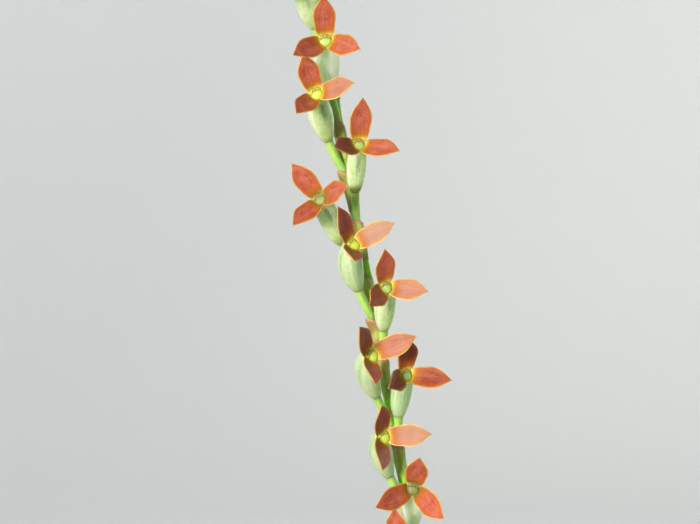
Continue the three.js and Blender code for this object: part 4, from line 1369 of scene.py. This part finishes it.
pot = {"height": 82, "rimRadius": 45, "rimHeight": 17, "rimStep": 2.6, "footRadius": 31, "wall": 4.2,
       "floor": 6, "holes": 4, "holeRadius": 4, "holeRing": 17, "sides": 144, "soft": 1.3,
       "step": 2.2, "wobble": 0.14, "wobbleRound": 2, "wobbleRise": 20, "steadyWithin": 20,
       "drillOver": 3, "sharp": 50}


def innerRadius(z):
    widening = pot["rimRadius"] - pot["rimStep"] - pot["footRadius"]
    return pot["footRadius"] + widening * z / pot["height"] - pot["wall"]


# Red clay left bare after firing is chalky, without any shine.
def makeClayFinish():
    finish, tree, shader = newFinish("unglazed red clay", Roughness=0.88, IOR=1.45)
    place = addNode(tree, "ShaderNodeTexCoord").outputs["Object"]
    height = addNode(tree, "ShaderNodeSeparateXYZ", {0: place}).outputs["Z"]
    clouds = grainPattern(tree, 26, detail=5)
    salts = grainPattern(tree, 11, detail=6, swirl=0.6)
    grains = grainPattern(tree, 0.7)
    lines = grainPattern(tree, 1.1, detail=2, stretch=(0.02, 0.02, 1))
    tone = coats(
        tree, "#955030",
        ("#A9664A", (clouds, 0.3, 0.7)),
        ("#7D3E24", (grains, 0.4, 0.25, 0, 0.55)),
        ("#BA8062", (lines, 0.55, 0.8, 0, 0.35)),
        ("#C4A893", (salts, 0.42, 0.8), (height, 0.075, 0.03, 0.15, 0.4)),
        ("#7A4A2E", (height, 0.009, 0, 0, 0.5)))
    paint(tree, shader, tone, (clouds, 0.5), (lines, 0.22), (grains, 0.16))
    return finish


# The outline of the pot's wall from the middle of its underside round to its floor: the radius
# and height of each corner, and how far it is rounded.
def potOutline():
    top, rim = pot["height"], pot["height"] - pot["rimHeight"]
    body = innerRadius(rim) + pot["wall"]
    corners = [
        (0, 0, 0),
        (pot["footRadius"] - 0.2, 0, pot["soft"]),
        (body, rim, 0.8),
        (body + pot["rimStep"], rim + 0.6, 1.2),
        (pot["rimRadius"], top, 2.1),
        (innerRadius(top), top, 1.6),
        (innerRadius(pot["floor"]), pot["floor"], 3.0),
        (0, pot["floor"], 0),
    ]
    outline = [np.array(corners[0][:2], float)]
    for before, corner, after in zip(corners, corners[1:], corners[2:]):
        here = np.array(corner[:2], float)
        back, ahead = unit(np.array(before[:2]) - here), unit(np.array(after[:2]) - here)
        bend = bezier(here + back * corner[2], here, here + ahead * corner[2])
        last = outline[-1]
        gap = int(np.linalg.norm(bend(0) - last) / pot["step"])
        for k in range(1, gap):
            outline.append(last + (bend(0) - last) * k / gap)
        outline += [bend(share) for share in np.linspace(0, 1, 7)]
    outline.append(np.array(corners[-1][:2], float))
    return outline


def makePot():
    angle = anglesRound(pot["sides"])
    rings = []
    for radius, height in potOutline()[1:-1]:
        spots = levelRing(angle, pot["wobbleRound"], height / pot["wobbleRise"])
        wobble = np.array([pot["wobble"] * grain(spot, 1) for spot in spots])
        rings.append(levelRing(angle, radius + wobble * min(1, radius / pot["steadyWithin"]), height))
    body = piece("clay_pot", [loft(rings, {})], makeClayFinish(), ["pot"])
    for i in range(pot["holes"]):
        around = turn * (i + 0.5) / pot["holes"]
        way = point(math.cos(around), math.sin(around), 0)
        rings = [point(*way[:2] * pot["holeRing"], z) + levelRing(angle[::4], pot["holeRadius"], 0)
                 for z in (-pot["drillOver"], pot["floor"] + pot["drillOver"])]
        points, faces, _ = loft(rings, {})
        cutter = putInScene("drill", newMesh("drill", points, faces))
        cut = body.modifiers.new("cut", "BOOLEAN")
        cut.operation = "DIFFERENCE"
        cut.object = cutter
        cut.solver = "EXACT"
        graph = bpy.context.evaluated_depsgraph_get()
        body.data = bpy.data.meshes.new_from_object(body.evaluated_get(graph), depsgraph=graph)
        body.modifiers.clear()
        bpy.data.objects.remove(cutter)
    body.data.set_sharp_from_angle(angle=math.radians(pot["sharp"]))
    body.data.name = "clay_pot"


makePot()
print("the pot is made")

# The bark: a bed of small dark pieces, and larger chips, grit and moss strewn over it.

bed = {"radius": 36.3, "low": 6.4, "top": 71.4, "rings": 30, "sideRings": 14, "sides": 96, "heave": 1.5,
       "coarse": 4.5, "fine": 1.6, "fineShare": 0.5, "strewBelow": 1.9}
# What is strewn over the bed, as inputs of its tree: lengths in metres, density for each square
# metre. Sizes are of the lumps in millimetres, and cuts are the planes that cut each lump.
chips = {"Spacing": 0.0036, "Density": 90000.0, "Largest": 1.0, "Smallest": 0.5, "Clear": 0.0021,
         "Tilt": 0.42, "Patchiness": 0.0, "Seed": 4}
chipSizes = [(9.2, 6.2, 3.4), (7.4, 5.6, 2.8), (8.2, 4.6, 3.6), (6.0, 5.2, 3.0)]
grit = {"Spacing": 0.006, "Density": 9000.0, "Largest": 1.0, "Smallest": 0.6, "Clear": 0.0018,
        "Tilt": 0.8, "Patchiness": 0.5, "Seed": 9}
gritSize = (2.6, 2.2, 1.9)
lump = {"limits": (0.45, 0.8), "bulges": (0.9, 1.1), "chipCuts": 7, "gritCuts": 5, "chipSeed": 20,
        "gritSeed": 60}
moss = {"Spacing": 0.00085, "Density": 900000.0, "Largest": 1.0, "Smallest": 0.5, "Clear": 0.0012,
        "Tilt": 0.4, "Patchiness": 0.56, "Seed": 3}


# Broken fir bark, dull and fibrous: dark brown layers with paler edges and a grey dust.
def makeBarkFinish():
    finish, tree, shader = newFinish("broken fir bark", Roughness=0.9, IOR=1.45)
    clouds = grainPattern(tree, 6, detail=4)
    layers = grainPattern(tree, 1.2, detail=5, stretch=(1, 0.3, 1.6), swirl=0.5)
    fine = grainPattern(tree, 0.4)
    tone = coats(
        tree, "#4B2D1B",
        ("#80532F", (clouds, 0.32, 0.68)),
        ("#2B1A11", (layers, 0.46, 0.3)),
        ("#A97C52", (layers, 0.6, 0.78, 0, 0.7)),
        ("#6E6A5C", (fine, 0.58, 0.8, 0, 0.3)))
    paint(tree, shader, tone, (layers, 0.6), (fine, 0.2))
    return finish


# White volcanic grit, dull and foamy: off-white with fine pits.
def makeGritFinish():
    finish, tree, shader = newFinish("white volcanic grit", Roughness=0.85)
    pits = grainPattern(tree, 0.4)
    paint(tree, shader, coats(tree, "#B9B2A4", ("#EDEAE2", (pits, 0.35, 0.65))), (pits, 0.3))
    return finish


# Cushion moss, soft and matt: deep green with yellower tufts.
def makeMossFinish():
    finish, tree, shader = newFinish("cushion moss", Roughness=0.7)
    tufts = grainPattern(tree, 2.5, detail=2)
    paint(tree, shader, coats(tree, "#4F7A24", ("#9DBB4A", (tufts, 0.35, 0.65))))
    return finish


def makeBed(finish):
    angle = anglesRound(bed["sides"])
    inset = bed["radius"] - (innerRadius(bed["top"]) - innerRadius(bed["low"]))
    rings = []
    for share in np.linspace(0, 1, bed["sideRings"]):
        rings.append(levelRing(angle, inset + (bed["radius"] - inset) * share,
                               bed["low"] + (bed["top"] - bed["low"]) * share))
    for k in range(1, bed["rings"]):
        spots = levelRing(angle, bed["radius"] * (1 - k / bed["rings"]), bed["top"])
        for spot in spots:
            spot[2] += bed["heave"] * (
                grain(spot, bed["coarse"], 1) + bed["fineShare"] * grain(spot, bed["fine"], 2))
        rings.append(spots)
    return piece("bark_bed", [loft(rings, {})], finish, ["bark_mix"])


# Knobbly lumps to strew: a coarse ball of 24 faces, pulled flat and cut about by a few planes.
def lumpShape(name, size, cuts, seed):
    draw = np.random.default_rng(seed)
    shape = bmesh.new()
    bmesh.ops.create_cube(shape, size=1)
    bmesh.ops.subdivide_edges(shape, edges=shape.edges[:], cuts=1, use_grid_fill=True)
    planes = [unit(draw.normal(size=3)) for k in range(cuts)]
    limits = draw.uniform(*lump["limits"], cuts)
    for vertex in shape.verts:
        spot = unit(np.array(vertex.co)) * draw.uniform(*lump["bulges"])
        for plane, limit in zip(planes, limits):
            excess = spot @ plane - limit
            if excess > 0:
                spot = spot - plane * excess
        vertex.co = Vector(spot * np.array(size) * mm / 2)
    mesh = bpy.data.meshes.new(name)
    shape.to_mesh(mesh)
    shape.free()
    return bpy.data.objects.new(name, mesh)


sprig = {"blades": 7, "wide": 0.12, "turned": 0.3, "leans": (0.2, 0.9), "lengths": (0.7, 1.2),
         "shoulder": 0.6, "bulge": 0.05, "narrowing": 0.8, "seed": 80}


# One moss sprig: a few short blades round a point.
def sprigShape(name, seed):
    draw = np.random.default_rng(seed)
    points, faces = [], []
    for k in range(sprig["blades"]):
        heading = turn * k / sprig["blades"] + draw.uniform(-sprig["turned"], sprig["turned"])
        lean = draw.uniform(*sprig["leans"])
        way = tilted(point(math.cos(heading), math.sin(heading), 0), lean)
        aside = point(-math.sin(heading), math.cos(heading), 0) * sprig["wide"]
        long = draw.uniform(*sprig["lengths"])
        shoulder = way * long * sprig["shoulder"] + point(0, 0, sprig["bulge"])
        upper = aside * sprig["narrowing"]
        n = len(points)
        points += [aside, -aside, shoulder - upper, shoulder + upper, way * long]
        faces += [(n, n + 1, n + 2, n + 3), (n + 3, n + 2, n + 4)]
    return bpy.data.objects.new(name, newMesh(name, points, faces))


patchScale = 90          # of the noise that leaves spots about a centimetre across bare


# Shapes strewn over the top of a surface, apart from each other and clear of another object.
def makeStrewTree():
    numbers = ("Clear", "Spacing", "Density", "Smallest", "Largest", "Tilt", "Lowest", "Patchiness")
    tree, given = newTree("strewn over a surface", {
        "Shapes": "Collection", "Keep Clear Of": "Object", **dict.fromkeys(numbers, "Float"),
        "Seed": "Int"})
    where = addNode(tree, "GeometryNodeInputPosition")
    height = addNode(tree, "ShaderNodeSeparateXYZ", {0: where}).outputs["Z"]
    high = addNode(tree, "FunctionNodeCompare", {0: height, 1: given["Lowest"]},
                   operation="GREATER_THAN")
    points = addNode(tree, "GeometryNodeDistributePointsOnFaces",
                     {"Mesh": given["Geometry"], "Selection": high, "Distance Min": given["Spacing"],
                      "Density Max": given["Density"], "Seed": given["Seed"]},
                     distribute_method="POISSON")
    kept = addNode(tree, "GeometryNodeObjectInfo", {"Object": given["Keep Clear Of"]})
    near = addNode(tree, "GeometryNodeProximity", {"Geometry": kept.outputs["Geometry"]},
                   target_element="FACES")
    tooNear = addNode(tree, "FunctionNodeCompare", {0: near.outputs["Distance"], 1: given["Clear"]},
                      operation="LESS_THAN")
    cloud = addNode(tree, "ShaderNodeTexNoise", {"Scale": patchScale, "Detail": 1}).outputs["Fac"]
    bare = addNode(tree, "FunctionNodeCompare", {0: cloud, 1: given["Patchiness"]},
                   operation="LESS_THAN")
    drop = addNode(tree, "FunctionNodeBooleanMath", {0: tooNear, 1: bare}, operation="OR")
    left = addNode(tree, "GeometryNodeDeleteGeometry",
                   {"Geometry": points.outputs["Points"], "Selection": drop}, domain="POINT")
    shapes = addNode(tree, "GeometryNodeCollectionInfo",
                     {"Collection": given["Shapes"], "Separate Children": True, "Reset Children": True})
    slack = addNode(tree, "ShaderNodeVectorMath", {0: (1, 1, 0), "Scale": given["Tilt"]},
                    operation="SCALE")
    most = addNode(tree, "ShaderNodeVectorMath", {0: slack, 1: (0, 0, turn)}, operation="ADD")
    least = addNode(tree, "ShaderNodeVectorMath", {0: slack, "Scale": -1}, operation="SCALE")
    spin = addNode(tree, "FunctionNodeRandomValue",
                   {0: least, 1: most, "Seed": given["Seed"]}, data_type="FLOAT_VECTOR")
    size = addNode(tree, "FunctionNodeRandomValue",
                   {2: given["Smallest"], 3: given["Largest"], "Seed": given["Seed"]},
                   data_type="FLOAT")
    strewn = addNode(tree, "GeometryNodeInstanceOnPoints",
                     {"Points": left, "Instance": shapes, "Pick Instance": True, "Rotation": spin,
                      "Scale": size.outputs[1]})
    return endTree(tree, strewn, given["Finish"])


def strew(ground, tree, name, shapes, part, finish):
    group = bpy.data.collections.new(name + "_shapes")
    for shape in shapes:
        group.objects.link(shape)
    strewn = grow(putInScene(name + "_ground", ground.data), tree, name, {
        **part, "Shapes": group, "Keep Clear Of": bpy.data.objects["stem_sheaths"],
        "Lowest": (bed["top"] - bed["strewBelow"]) * mm, "Finish": finish})
    for shape in shapes:
        bpy.data.objects.remove(shape)
    bpy.data.collections.remove(group)
    settle(strewn)


def makeGround():
    bark = makeBarkFinish()
    ground = makeBed(bark)
    tree = makeStrewTree()
    lumps = [lumpShape(f"chip_{k}", size, lump["chipCuts"], lump["chipSeed"] + k)
             for k, size in enumerate(chipSizes)]
    strew(ground, tree, "bark_chips", lumps, chips, bark)
    bits = [lumpShape(f"bit_{k}", gritSize, lump["gritCuts"], lump["gritSeed"] + k)
            for k in range(2)]
    strew(ground, tree, "white_grit", bits, grit, makeGritFinish())
    sprigs = [sprigShape(f"sprig_{k}", sprig["seed"] + k) for k in range(3)]
    strew(ground, tree, "moss", sprigs, moss, makeMossFinish())


makeGround()
print("the bark is made")

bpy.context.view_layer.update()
faces = {o.name: sum(len(p.vertices) - 2 for p in o.data.polygons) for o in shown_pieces()}
largest = sorted(faces.items(), key=lambda pair: -pair[1])[:6]
print("triangles", sum(faces.values()), "largest", largest)
